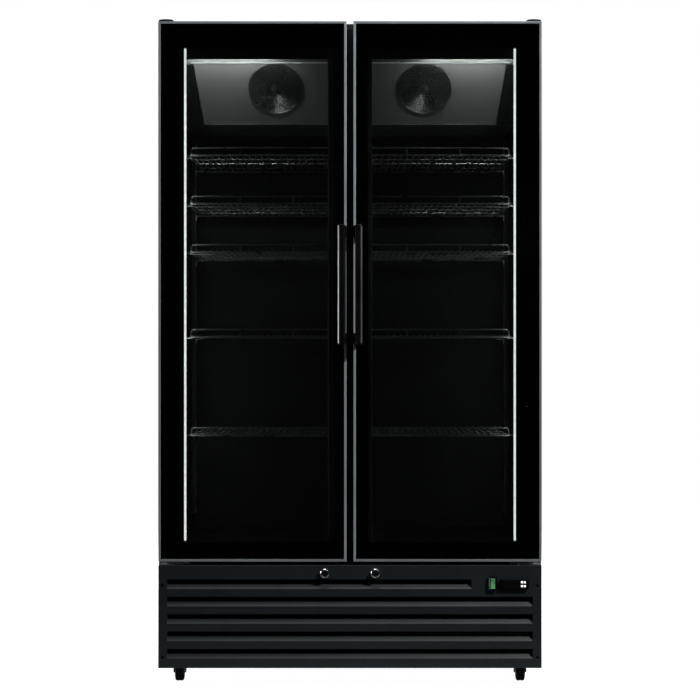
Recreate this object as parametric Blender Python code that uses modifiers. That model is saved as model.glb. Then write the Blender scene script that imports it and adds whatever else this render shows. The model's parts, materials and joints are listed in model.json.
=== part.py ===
"""Two-door glass door merchandiser: an upright display refrigerator on four casters.

Metres, +Z up. The doors face -Y, +X is to the right of someone facing them, and the origin is
on the floor under the middle of the object. Run with: blender --background --python part.py
"""

import math

import bmesh
import bpy
from mathutils import Vector

# Overall size
WIDTH = 1.160
HEIGHT = 2.019
DEPTH = 0.720  # front of the handles to the rear panel
FIT = 0.0003  # clearance between two pieces that touch
THROUGH = 0.02  # how far a cutter runs past the faces it cuts

# Depth planes, from the front
HANDLE_REACH = 0.045
DOOR_DEPTH = 0.040
SEAL = 0.012
FRONT = -DEPTH / 2
REAR = DEPTH / 2
DOOR_FRONT = FRONT + HANDLE_REACH
DOOR_BACK = DOOR_FRONT + DOOR_DEPTH
CABINET_FRONT = DOOR_BACK + SEAL

# Heights
HINGE_COVER = 0.0042  # its thickness
HINGE_REACH = 0.063  # how far the cover runs back over the cabinet's top
CABINET_TOP = HEIGHT - HINGE_COVER - FIT
DOOR_TOP = CABINET_TOP - 0.002
DOOR_BOTTOM = 0.378
PANEL_TOP = 0.367
PANEL_BOTTOM = 0.056
DECK = 0.364  # underside of the floor deck, above the machine compartment
FLOOR = 0.419  # inside floor
SIDE_BOTTOM = 0.064
TRAY = 0.0945  # underside of the base tray
TRAY_SHEET = 0.002
TRAY_EDGE = 0.025  # height of the tray's front and rear folds

# Walls
SKIN = 0.0015
WALL = 0.050
HALF = WIDTH / 2
INSIDE = HALF - WALL  # inner face of the liner
CEILING = CABINET_TOP - WALL
INSIDE_REAR = REAR - WALL
MULLION_HALF = 0.067
MULLION_DEPTH = 0.050
PILASTER = 0.012  # how far a shelf pilaster stands out from the liner
PILASTER_TOP = 1.719
PILASTER_BOTTOM = 0.469
PILASTER_WIDTH = 0.030
PILASTER_PLACES = (-0.135, 0.245)  # along Y on each side wall

# Doors
DOOR_GAP = 0.0210
DOOR_INNER = DOOR_GAP / 2
DOOR_LIP = 0.0072  # edge trim in front of the glass
DOOR_RAIL = 0.040  # whole width of the frame behind the glass
GLASS_RECESS = 0.001
GLASS_UNIT = 0.024
PANE = 0.004
SPACER = 0.010
GASKET_INSET = 0.022
GASKET_WIDTH = 0.014
PIVOT_INSET = 0.020  # hinge axis, in from the door's outer edge and its front
PIN_RADIUS = 0.004
PIN_CLEARANCE = 0.0005
PIN_DEPTH = 0.0052
PIN_SIDES = 16

# Handles
HANDLE_X = 0.026
HANDLE_WIDTH = 0.021
HANDLE_THICK = 0.014
HANDLE_SPAN = (1.034, 1.395)
STANDOFFS = ((1.039, 1.069), (1.360, 1.3925))

# Shelves
SHELF_HEIGHTS = (1.627, 1.477, 1.327, 1.064, 0.759)  # top of each deck, from the top tier down
SHELF_X = (0.012, 0.505)
SHELF_Y = (-0.185, 0.290)
SHELF_DECK = 0.006
SHELF_EDGE = 0.010
SHELF_BARS = 8  # slots between the deck's bars
GUARD_HEIGHT = 0.023
GUARD_WIRE = 0.005

# Light bars
LED_X = 0.502
LED_Y = (-0.245, -0.227)
LED_Z = (0.428, 1.948)

# Evaporator housing under the ceiling
TILT = math.radians(35)  # of the fan face, back from vertical
FACE_TOP = Vector((0.0, -0.110, 1.921))
FACE_LENGTH = 0.215
FACE_UP = Vector((0.0, -math.sin(TILT), math.cos(TILT)))
FACE_OUT = Vector((0.0, -math.cos(TILT), -math.sin(TILT)))
FAN_X = 0.236
FAN_DOWN = 0.0895  # fan centre, along the face from its top edge
GRILLE_RADIUS = 0.0875
EVAPORATOR_FAN_RADIUS = 0.080

# Lower panel
PANEL_SHEET = 0.002
PANEL_FOLD = 0.012  # depth of the top and bottom folds
LOUVRE_TOP = 0.3244
LOUVRE_PITCH = 0.0526
LOUVRE_OPEN = 0.0133
LOUVRE_HALF = 0.553
LOUVRE_COUNT = 5
SHORT_LOUVRE_END = 0.368
LOCK_X = 0.0765
LOCK_Z = 0.343
LOCK_HEAD = 0.0105
LOCK_BARREL = 0.0085
CAM_REACH = 0.0395
CAM_WIDTH = 0.014
CAM_THICK = 0.0025
CAM_Y = -0.300  # front face of the cam
SWITCH_X = 0.4314
SWITCH_Z = 0.3128
SWITCH_SIZE = (0.0138, 0.0315)
CONTROL_X = (0.4536, 0.5401)
CONTROL_Z = (0.2969, 0.3241)
BUTTON_X = (0.5191, 0.5276)
BUTTON_Z = (0.3164, 0.3048)
BUTTON_RADIUS = 0.0035
BUTTON_PROUD = 0.0012
BUTTON_TRAVEL = 0.001
BUTTON_DEPTH = 0.0085  # depth of each button's hole
CONTROL_BODY = 0.040  # how far the controller reaches behind the panel
PROUD = 0.0095  # how far the locks, the switch and the controller stand out from the panel

# Machine compartment
COMPRESSOR_AT = (-0.20, 0.16)
CONDENSER_AT = (0.0, -0.180)
CONDENSER_SIZE = (0.36, 0.055, 0.205)
CASE_X = (0.30, 0.46)  # ends of the electrical box

# Back of the machine compartment
VENT_X = (-0.46, -0.24, -0.02)  # left end of each bank of vents
VENT_BOTTOM = 0.149
VENT_ROWS = 6
VENT_PITCH = 0.022
VENT_OPEN = 0.008
VENT_LONG = 0.160
INLET_X = (0.365, 0.395)
INLET_Z = (0.149, 0.171)
INLET_WALL = 0.003

# Casters
CASTER_X = 0.524
CASTER_Y = (-0.240, 0.300)
WHEEL_RADIUS = 0.0315
WHEEL_WIDTH = 0.026
WHEEL_TRAIL = 0.022
FORK_TOP = 0.089
PAD_HALF = 0.035  # mounting pad under the tray
FORK_CHEEK = 0.003
FORK_INNER = 0.0145
FORK_DISC = 0.021
AXLE_RADIUS = 0.004
KINGPIN_RADIUS = 0.005


# ---------------------------------------------------------------- tools

def clear_scene():
    for obj in list(bpy.data.objects):
        bpy.data.objects.remove(obj, do_unlink=True)


def new_collection(name):
    made = bpy.data.collections.new(name)
    bpy.context.scene.collection.children.link(made)
    return made


def finish(name, colour, roughness, metallic=0.0):
    made = bpy.data.materials.new(name)
    made.use_nodes = True
    shader = made.node_tree.nodes["Principled BSDF"]
    shader.inputs["Base Color"].default_value = (*colour, 1.0)
    shader.inputs["Roughness"].default_value = roughness
    shader.inputs["Metallic"].default_value = metallic
    made.diffuse_color = (*colour, 1.0)
    return made


def add(name, data, where, material):
    """Links a new object: with a material it is a part, without one a cutter or a piece to be joined."""
    obj = bpy.data.objects.new(name, data)
    obj.location = where
    if material is None:
        obj.hide_render = True
        obj.display_type = "WIRE"
        HELPERS.objects.link(obj)
    else:
        data.materials.append(material)
        PARTS.objects.link(obj)
    return obj


def mesh_from(bm, name):
    mesh = bpy.data.meshes.new(name)
    bm.to_mesh(mesh)
    bm.free()
    return mesh


def box(name, low, high, material=None, bevel=0.0):
    """A block between two corners, with its edges rounded by a Bevel modifier where one is asked for."""
    low, high = Vector(low), Vector(high)
    bm = bmesh.new()
    bmesh.ops.create_cube(bm, size=1.0)
    bmesh.ops.scale(bm, vec=high - low, verts=bm.verts)
    obj = add(name, mesh_from(bm, name), (low + high) / 2, material)
    if bevel:
        rounded = obj.modifiers.new("rounded_edges", "BEVEL")
        rounded.width = bevel
        rounded.segments = 2
    return obj


def blocks(name, corners):
    """One cutter made of several separate blocks, given as pairs of corners."""
    bm = bmesh.new()
    for low, high in corners:
        low, high = Vector(low), Vector(high)
        made = bmesh.ops.create_cube(bm, size=1.0)["verts"]
        bmesh.ops.scale(bm, vec=high - low, verts=made)
        bmesh.ops.translate(bm, vec=(low + high) / 2, verts=made)
    return add(name, mesh_from(bm, name), (0, 0, 0), None)


AXIS_TURN = {"X": (0, math.pi / 2, 0), "Y": (math.pi / 2, 0, 0), "Z": (0, 0, 0)}


def cylinder(name, radius, low, high, axis, centre, material=None, sides=24):
    """A cylinder between two values along an axis; centre holds the other two coordinates, in order."""
    bm = bmesh.new()
    bmesh.ops.create_cone(
        bm, cap_ends=True, segments=sides, radius1=radius, radius2=radius, depth=high - low
    )
    middle = list(centre)
    middle.insert("XYZ".index(axis), (low + high) / 2)
    obj = add(name, mesh_from(bm, name), middle, material)
    obj.rotation_euler = AXIS_TURN[axis]
    return obj


def combine(obj, operation, others, solver="EXACT"):
    for other in others:
        step = obj.modifiers.new(f"{operation.lower()}_{other.name}"[:60], "BOOLEAN")
        step.operation = operation
        step.solver = solver
        step.object = other
    return obj


def cut(obj, *cutters):
    return combine(obj, "DIFFERENCE", cutters)


def join(obj, *pieces):
    return combine(obj, "UNION", pieces)


def join_to_perforated(sheet, *pieces):
    """The EXACT solver leaves open edges on a sheet with many holes, so these unions use MANIFOLD."""
    return combine(sheet, "UNION", pieces, solver="MANIFOLD")


def plate(name, outline, holes, thickness, material=None):
    """A flat sheet in the local XY plane with holes, as a mesh that Booleans can work on."""
    curve = bpy.data.curves.new(name, "CURVE")
    curve.dimensions = "2D"
    curve.fill_mode = "BOTH"
    curve.extrude = thickness / 2
    for points in (outline, *holes):
        spline = curve.splines.new("POLY")
        spline.points.add(len(points) - 1)
        for point, (x, y) in zip(spline.points, points):
            point.co = (x, y, 0, 1)
        spline.use_cyclic_u = True
    drawn = bpy.data.objects.new(name + "_outline", curve)
    HELPERS.objects.link(drawn)
    bpy.context.view_layer.update()
    graph = bpy.context.evaluated_depsgraph_get()
    mesh = bpy.data.meshes.new_from_object(drawn.evaluated_get(graph))
    place = drawn.matrix_world.copy()
    bpy.data.objects.remove(drawn, do_unlink=True)
    bm = bmesh.new()
    bm.from_mesh(mesh)
    bmesh.ops.remove_doubles(bm, verts=bm.verts, dist=1e-5)
    bm.to_mesh(mesh)
    bm.free()
    mesh.name = name
    obj = add(name, mesh, (0, 0, 0), material)
    obj.matrix_world = place
    return obj


def rectangle(x0, x1, y0, y1):
    return [(x0, y0), (x1, y0), (x1, y1), (x0, y1)]


def turned(name, profile, axis, where, material, steps=32):
    """A body of revolution: a closed profile of (radius, height) pairs, spun with a Screw modifier."""
    mesh = bpy.data.meshes.new(name)
    count = len(profile)
    edges = [(i, (i + 1) % count) for i in range(count)]
    if profile[0][0] == 0 and profile[-1][0] == 0:
        edges.pop()
    mesh.from_pydata([(radius, 0, height) for radius, height in profile], edges, [])
    obj = add(name, mesh, where, material)
    obj.rotation_euler = AXIS_TURN[axis]
    spin = obj.modifiers.new("spin", "SCREW")
    spin.steps = steps
    spin.render_steps = steps
    spin.use_merge_vertices = True
    spin.merge_threshold = 1e-5
    return obj


def sideways(sign, near, far):
    """The X interval between two distances from the middle, on the side that sign names."""
    return sorted((sign * near, sign * far))


def pivot(name, where, turn=(0, 0, 0)):
    empty = bpy.data.objects.new(name, None)
    empty.location = where
    empty.rotation_euler = turn
    empty.empty_display_size = 0.03
    PARTS.objects.link(empty)
    return empty


def hang(parent, *pieces):
    """Parents unturned pieces to an unturned pivot, keeping them where they are."""
    for piece in pieces:
        piece.location = piece.location - parent.location
        piece.parent = parent


def smooth(*pieces, angle=math.radians(35)):
    for piece in pieces:
        piece.data.shade_smooth()
        piece.data.set_sharp_from_angle(angle=angle)


# ---------------------------------------------------------------- cabinet

def make_skins():
    flange_back = CABINET_FRONT + SKIN
    for side, sign in SIDES:
        x0, x1 = sideways(sign, INSIDE, HALF)
        inner = sideways(sign, INSIDE - THROUGH, HALF - SKIN)
        low = (x0, CABINET_FRONT, SIDE_BOTTOM)
        panel = box(f"{side}_side_panel", low, (x1, REAR, CABINET_TOP), BLACK_STEEL)
        cut(panel,
            box(f"{side}_panel_hollow", (inner[0], flange_back, SIDE_BOTTOM - THROUGH),
                (inner[1], REAR + THROUGH, CABINET_TOP + THROUGH)),
            box(f"{side}_below_jamb", (inner[0], CABINET_FRONT - THROUGH, SIDE_BOTTOM - THROUGH),
                (inner[1], flange_back + THROUGH, DECK)))

    across = HALF - SKIN - FIT
    top = box("top_panel", (-across, CABINET_FRONT, CEILING), (across, REAR, CABINET_TOP), BLACK_STEEL)
    cut(top,
        box("top_panel_hollow", (-HALF, flange_back, CEILING - THROUGH),
            (HALF, REAR + THROUGH, CABINET_TOP - SKIN)),
        blocks("head_notches", jamb_notches(CEILING, CABINET_TOP)))

    rear_top = CABINET_TOP - SKIN - FIT
    rear = box("rear_panel", (-across, REAR - SKIN, SIDE_BOTTOM), (across, REAR, rear_top), GREY_STEEL)
    heights = [VENT_BOTTOM + row * VENT_PITCH for row in range(VENT_ROWS)]
    openings = [
        ((x, REAR - THROUGH, z), (x + VENT_LONG, REAR + THROUGH, z + VENT_OPEN))
        for x in VENT_X
        for z in heights
    ]
    room = 0.001
    openings.append(((INLET_X[0] - room, REAR - THROUGH, INLET_Z[0] - room),
                     (INLET_X[1] + room, REAR + THROUGH, INLET_Z[1] + room)))
    cut(rear, blocks("rear_openings", openings))

    deck_back = REAR - SKIN - FIT
    deck = box("floor_deck", (-across, CABINET_FRONT, DECK), (across, deck_back, FLOOR), BLACK_STEEL)
    cut(deck,
        box("deck_hollow", (-HALF, flange_back, DECK + SKIN), (HALF, REAR + THROUGH, FLOOR + THROUGH)),
        blocks("sill_notches", jamb_notches(DECK, FLOOR)))


def jamb_notches(low, high):
    """Room at both ends of a front flange for the side panels' own flanges."""
    back = CABINET_FRONT + SKIN + FIT
    ends = (sideways(sign, INSIDE - FIT, HALF) for _, sign in SIDES)
    front = CABINET_FRONT - THROUGH
    return [((x0, front, low - THROUGH), (x1, back, high + THROUGH)) for x0, x1 in ends]


def make_insulation():
    outer = HALF - SKIN - FIT
    inner = INSIDE + SKIN + FIT
    front = CABINET_FRONT + SKIN + FIT
    outside = ((-outer, front, DECK + SKIN + FIT), (outer, REAR - SKIN - FIT, CABINET_TOP - SKIN - FIT))
    foam = box("foam_insulation", *outside, FOAM)
    cut(foam, box("foam_hollow", (-inner, front - THROUGH, FLOOR - SKIN - FIT),
                  (inner, INSIDE_REAR + SKIN + FIT, CEILING + SKIN + FIT)))

    shell = ((-INSIDE - SKIN, front, FLOOR - SKIN), (INSIDE + SKIN, INSIDE_REAR + SKIN, CEILING + SKIN))
    liner = box("inner_liner", *shell, BLACK_LINER)
    room = ((-INSIDE, front - THROUGH, FLOOR), (INSIDE, INSIDE_REAR, CEILING))
    cut(liner, box("liner_hollow", *room))
    embed = SKIN / 2  # how far a pilaster reaches into the liner's wall
    for side, sign in SIDES:
        x0, x1 = sideways(sign, INSIDE - PILASTER, INSIDE + embed)
        for place, y in zip(("front", "rear"), PILASTER_PLACES):
            low = (x0, y - PILASTER_WIDTH / 2, PILASTER_BOTTOM)
            join(liner, box(f"{side}_{place}_pilaster", low, (x1, y + PILASTER_WIDTH / 2, PILASTER_TOP)))
    join(liner, box("rear_pilaster", (-PILASTER_WIDTH, INSIDE_REAR - PILASTER, PILASTER_BOTTOM),
                    (PILASTER_WIDTH, INSIDE_REAR + embed, PILASTER_TOP)))


def make_mullion():
    back = CABINET_FRONT + MULLION_DEPTH
    mullion = box("center_mullion", (-MULLION_HALF, CABINET_FRONT, FLOOR + FIT),
                  (MULLION_HALF, back, CEILING - FIT), BLACK_STEEL)
    join(mullion, box("mullion_pilaster", (-PILASTER_WIDTH, back - SKIN, PILASTER_BOTTOM),
                      (PILASTER_WIDTH, back + PILASTER, PILASTER_TOP)))


def make_base():
    across = HALF - SKIN - FIT
    back = REAR - SKIN - FIT
    tray_low = (-across, CABINET_FRONT, TRAY)
    tray = box("base_tray", tray_low, (across, back, TRAY + TRAY_EDGE), GREY_STEEL)
    cut(tray, box("tray_hollow", (-HALF, CABINET_FRONT + TRAY_SHEET, TRAY + TRAY_SHEET),
                  (HALF, back - TRAY_SHEET, TRAY + TRAY_EDGE + THROUGH)))
    for y in CASTER_Y:
        for side, sign in SIDES:
            x = sign * CASTER_X
            pad_low = (x - PAD_HALF, y - PAD_HALF, FORK_TOP + FIT)
            pad_high = (x + PAD_HALF, y + PAD_HALF, TRAY + TRAY_SHEET / 2)
            join(tray, box(f"{side}_pad_{y}", pad_low, pad_high))
            cut(tray, cylinder(f"{side}_kingpin_hole_{y}", KINGPIN_RADIUS + PIN_CLEARANCE,
                               TRAY - THROUGH, TRAY + THROUGH, "Z", (x, y), sides=PIN_SIDES))


def make_front_grille():
    back = CABINET_FRONT - FIT
    panel = box("front_grille", (-HALF, DOOR_FRONT, PANEL_BOTTOM), (HALF, back, PANEL_TOP), CHARCOAL)
    sheet_back = DOOR_FRONT + PANEL_SHEET
    inner = HALF - PANEL_SHEET
    cut(panel,
        box("grille_hollow", (-inner, sheet_back, PANEL_BOTTOM + PANEL_SHEET),
            (inner, back + THROUGH, PANEL_TOP - PANEL_SHEET)),
        box("grille_open_top", (-inner, DOOR_FRONT + PANEL_FOLD, PANEL_TOP - THROUGH),
            (inner, back + THROUGH, PANEL_TOP + THROUGH)),
        box("grille_open_bottom", (-inner, DOOR_FRONT + PANEL_FOLD, PANEL_BOTTOM - THROUGH),
            (inner, back + THROUGH, PANEL_BOTTOM + THROUGH)))
    slots = []
    for row in range(LOUVRE_COUNT):
        top = LOUVRE_TOP - row * LOUVRE_PITCH
        right = LOUVRE_HALF if row else SHORT_LOUVRE_END
        slots.append(((-LOUVRE_HALF, DOOR_FRONT - THROUGH, top - LOUVRE_OPEN),
                      (right, sheet_back + 0.001, top)))
    cut(panel, blocks("louvre_slots", slots))
    for side, sign in SIDES:
        cut(panel, cylinder(f"{side}_lock_hole", LOCK_BARREL + PIN_CLEARANCE, DOOR_FRONT - THROUGH,
                            DOOR_FRONT + THROUGH / 2, "Y", (sign * LOCK_X, LOCK_Z)))
    room = 0.0007
    wide, tall = SWITCH_SIZE
    behind = sheet_back + 0.001
    cut(panel, blocks("control_openings", [
        ((SWITCH_X - wide / 2 - room, DOOR_FRONT - THROUGH, SWITCH_Z - tall / 2 - room),
         (SWITCH_X + wide / 2 + room, behind, SWITCH_Z + tall / 2 + room)),
        ((CONTROL_X[0] + 0.003, DOOR_FRONT - THROUGH, CONTROL_Z[0] + 0.002),
         (CONTROL_X[1] - 0.003, behind, CONTROL_Z[1] - 0.002)),
    ]))


# ---------------------------------------------------------------- refrigeration

def make_compressor():
    radius, height, edge = 0.078, 0.175, 0.030
    profile = [(0, height)]
    for step in range(5):
        angle = math.pi / 2 * (1 - step / 4)
        profile.append((radius - edge + edge * math.cos(angle), height - edge + edge * math.sin(angle)))
    profile += [(radius, 0.020), (radius - 0.015, 0.006), (0, 0.006)]
    foot = TRAY + TRAY_SHEET + FIT
    centre = COMPRESSOR_AT
    shell = turned("compressor", profile, "Z", (*centre, foot), BLACK_ENAMEL, steps=28)
    join(shell, box("compressor_feet", (centre[0] - 0.11, centre[1] - 0.065, foot),
                    (centre[0] + 0.11, centre[1] + 0.065, foot + 0.010)))
    smooth(shell)


def comb(teeth, width, depth, spine, tooth):
    """Outline of a finned block seen from above: a spine along one long side with teeth standing off it."""
    pitch = (width - tooth) / (teeth - 1)
    points = [(width, 0), (0, 0)]
    for i in range(teeth):
        left = i * pitch
        points += [(left, depth), (left + tooth, depth)]
        if i < teeth - 1:
            points += [(left + tooth, spine), (left + pitch, spine)]
    return points


def make_condenser():
    width, deep, tall = CONDENSER_SIZE
    base = TRAY + TRAY_SHEET + FIT
    middle = CONDENSER_AT
    coil = plate("condenser_coil", comb(15, width, deep, 0.020, 0.008), [], tall, DARK_ALUMINIUM)
    coil.location = (middle[0] - width / 2, middle[1] - deep / 2, base + tall / 2)

    shroud_front = middle[1] + deep / 2 + FIT
    shroud_depth = 0.035
    fan_z = base + tall / 2
    fan_radius = 0.088
    shroud_low = (middle[0] - width / 2, shroud_front, base)
    shroud_high = (middle[0] + width / 2, shroud_front + shroud_depth, base + tall)
    shroud = box("condenser_fan_shroud", shroud_low, shroud_high, BLACK_STEEL)
    cut(shroud, cylinder("shroud_opening", fan_radius + 0.006, shroud_front - THROUGH,
                         shroud_front + shroud_depth + THROUGH, "Y", (middle[0], fan_z), sides=32))
    motor_front = shroud_front + shroud_depth + 0.004
    arm = 0.006
    arm_long = width / 2 - 0.02
    join(shroud,
         box("motor_arm", (middle[0] - arm_long, shroud_front + shroud_depth - 0.001, fan_z - arm),
             (middle[0] + arm_long, motor_front + 0.004, fan_z + arm)),
         cylinder("condenser_fan_motor", 0.032, motor_front, motor_front + 0.045, "Y", (middle[0], fan_z)))

    hub_middle = shroud_front + shroud_depth / 2
    centre = (middle[0], hub_middle, fan_z)
    fan = rotor("condenser_fan", fan_radius, 0.028, 0.022, 5, DARK_ALUMINIUM)
    fan.rotation_euler = AXIS_TURN["Y"]
    fan.parent = pivot("condenser_fan_axis", centre)


def rotor(name, radius, hub_radius, thick, blades, material):
    """A fan about its local Z axis: a hub with flat blades, each pitched about its own radius."""
    bm = bmesh.new()
    bmesh.ops.create_cone(bm, cap_ends=True, segments=20, radius1=hub_radius, radius2=hub_radius, depth=thick)
    fan = add(name, mesh_from(bm, name), (0, 0, 0), material)
    pitch = math.radians(30)
    for i in range(blades):
        angle = 2 * math.pi * i / blades
        root = hub_radius * 0.7
        blade = box(f"{name}_blade_{i}", (root, -radius * 0.24, -0.001), (radius, radius * 0.24, 0.001))
        reach = (root + radius) / 2
        blade.location = (reach * math.cos(angle), reach * math.sin(angle), 0)
        blade.rotation_mode = "XYZ"
        blade.rotation_euler = (pitch, 0, angle)
        blade.parent = fan
        join(fan, blade)
    return fan


def make_electrical_box():
    base = TRAY + TRAY_SHEET + FIT
    back = REAR - SKIN - TRAY_SHEET - 2 * FIT  # clear of the tray's rear edge
    deep, tall = 0.12, 0.14
    case_low = (CASE_X[0], back - deep, base)
    case = box("electrical_box", case_low, (CASE_X[1], back, base + tall), GREY_STEEL, bevel=0.002)
    join(case, box("power_inlet", (INLET_X[0], back - 0.02, INLET_Z[0]), (INLET_X[1], REAR, INLET_Z[1])))
    socket_low = (INLET_X[0] + INLET_WALL, REAR - 0.012, INLET_Z[0] + INLET_WALL)
    socket_high = (INLET_X[1] - INLET_WALL, REAR + THROUGH, INLET_Z[1] - INLET_WALL)
    cut(case, box("inlet_socket", socket_low, socket_high))


def slots_of_grille(centre_x, centre_y):
    """Two rings of curved slots around a solid centre."""
    holes = []
    sectors, land = 6, math.radians(7)
    for inner, outer in ((0.030, 0.054), (0.060, GRILLE_RADIUS - 0.004)):
        for i in range(sectors):
            start = 2 * math.pi * i / sectors + land
            end = 2 * math.pi * (i + 1) / sectors - land
            turns = [start + (end - start) * t / 4 for t in range(5)]
            hole = [(centre_x + outer * math.cos(a), centre_y + outer * math.sin(a)) for a in turns]
            for turn in reversed(turns):
                hole.append((centre_x + inner * math.cos(turn), centre_y + inner * math.sin(turn)))
            holes.append(hole)
    return holes


def make_evaporator():
    across = INSIDE - 0.0005
    half = FACE_LENGTH / 2
    middle = FACE_TOP - FACE_UP * half
    holes = []
    for _, sign in SIDES:
        holes += slots_of_grille(sign * FAN_X, half - FAN_DOWN)
    turn = (math.pi / 2 + TILT, 0, 0)
    cover = plate("evaporator_cover", rectangle(-across, across, -half, half), holes, SKIN, WHITE_STEEL)
    cover.rotation_euler = turn
    cover.location = middle
    lip = box("cover_lip", (-across, FACE_TOP.y - SKIN / 2, FACE_TOP.z - SKIN),
              (across, FACE_TOP.y + SKIN / 2, CEILING - FIT))
    foot = FACE_TOP - FACE_UP * FACE_LENGTH
    pan = box("cover_pan", (-across, foot.y - SKIN, foot.z - SKIN / 2),
              (across, INSIDE_REAR - FIT, foot.z + SKIN / 2))
    join_to_perforated(cover, lip, pan)

    coil_low = Vector((-0.42, 0.100, foot.z + 0.012))
    coil_size = Vector((0.84, 0.170, 0.170))
    outline = comb(21, coil_size.x, coil_size.y, 0.060, 0.010)
    coil = plate("evaporator_coil", outline, [], coil_size.z, DARK_ALUMINIUM)
    coil.location = coil_low + Vector((0, 0, coil_size.z / 2))

    fan_back = 0.028  # from the face to the middle of the rotor
    motor_back = 0.046  # from the face to the front of the motor
    motor_long = 0.030
    bracket_centre = FACE_TOP - FACE_UP * FAN_DOWN - FACE_OUT * (motor_back + motor_long)
    reach, half_wide, half_thick = 0.40, 0.020, 0.0015
    bracket = box("evaporator_fan_bracket", (-reach, -half_wide, -half_thick),
                  (reach, half_wide, half_thick), GREY_STEEL)
    bracket.rotation_euler = turn
    bracket.location = bracket_centre
    for side, sign in SIDES:
        centre = FACE_TOP - FACE_UP * FAN_DOWN + Vector((sign * FAN_X, 0, 0))
        motor = cylinder(f"{side}_evaporator_motor", 0.028, -motor_long / 2, motor_long / 2, "Z", (0, 0))
        motor.location = centre - FACE_OUT * (motor_back + motor_long / 2)
        motor.rotation_euler = turn
        join(bracket, motor)
        fan = rotor(f"evaporator_fan_{side}", EVAPORATOR_FAN_RADIUS, 0.022, 0.020, 5, BLACK_PLASTIC)
        fan.parent = pivot(f"evaporator_fan_{side}_axis", centre - FACE_OUT * fan_back, turn)


# ---------------------------------------------------------------- inside

def make_shelves():
    wide = SHELF_X[1] - SHELF_X[0]
    deep = SHELF_Y[1] - SHELF_Y[0]
    pitch = (wide - SHELF_EDGE) / SHELF_BARS
    slots = []
    for i in range(SHELF_BARS):
        left = -wide / 2 + SHELF_EDGE + i * pitch
        right = left + pitch - SHELF_EDGE
        slots.append(rectangle(left, right, -deep / 2 + SHELF_EDGE, deep / 2 - SHELF_EDGE))
    middle_y = sum(SHELF_Y) / 2
    windows = 3
    span = wide - 0.010
    bay = (span - GUARD_WIRE) / windows
    panes = []
    for i in range(windows):
        left = -span / 2 + GUARD_WIRE + i * bay
        panes.append(rectangle(left, left + bay - GUARD_WIRE, GUARD_WIRE, GUARD_HEIGHT - GUARD_WIRE))
    for side, sign in SIDES:
        x = sign * sum(SHELF_X) / 2
        for tier, top in enumerate(SHELF_HEIGHTS, start=1):
            outline = rectangle(-wide / 2, wide / 2, -deep / 2, deep / 2)
            shelf = plate(f"shelf_{side}_{tier}", outline, slots, SHELF_DECK, BLACK_WIRE)
            shelf.location = (x, middle_y, top - SHELF_DECK / 2)
            rim = rectangle(-span / 2, span / 2, 0, GUARD_HEIGHT)
            guard = plate(f"shelf_{side}_{tier}_guard", rim, panes, GUARD_WIRE)
            guard.rotation_euler = (math.pi / 2, 0, 0)
            guard.location = (x, SHELF_Y[0] + SHELF_EDGE / 2, top - SHELF_DECK / 2)
            join_to_perforated(shelf, guard)


def make_light_bars():
    for side, sign in SIDES:
        x0, x1 = sideways(sign, LED_X, INSIDE - FIT)
        low = (x0, LED_Y[0], LED_Z[0])
        box(f"led_light_bar_{side}", low, (x1, LED_Y[1], LED_Z[1]), LED_WHITE, bevel=0.003)


# ---------------------------------------------------------------- doors

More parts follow.
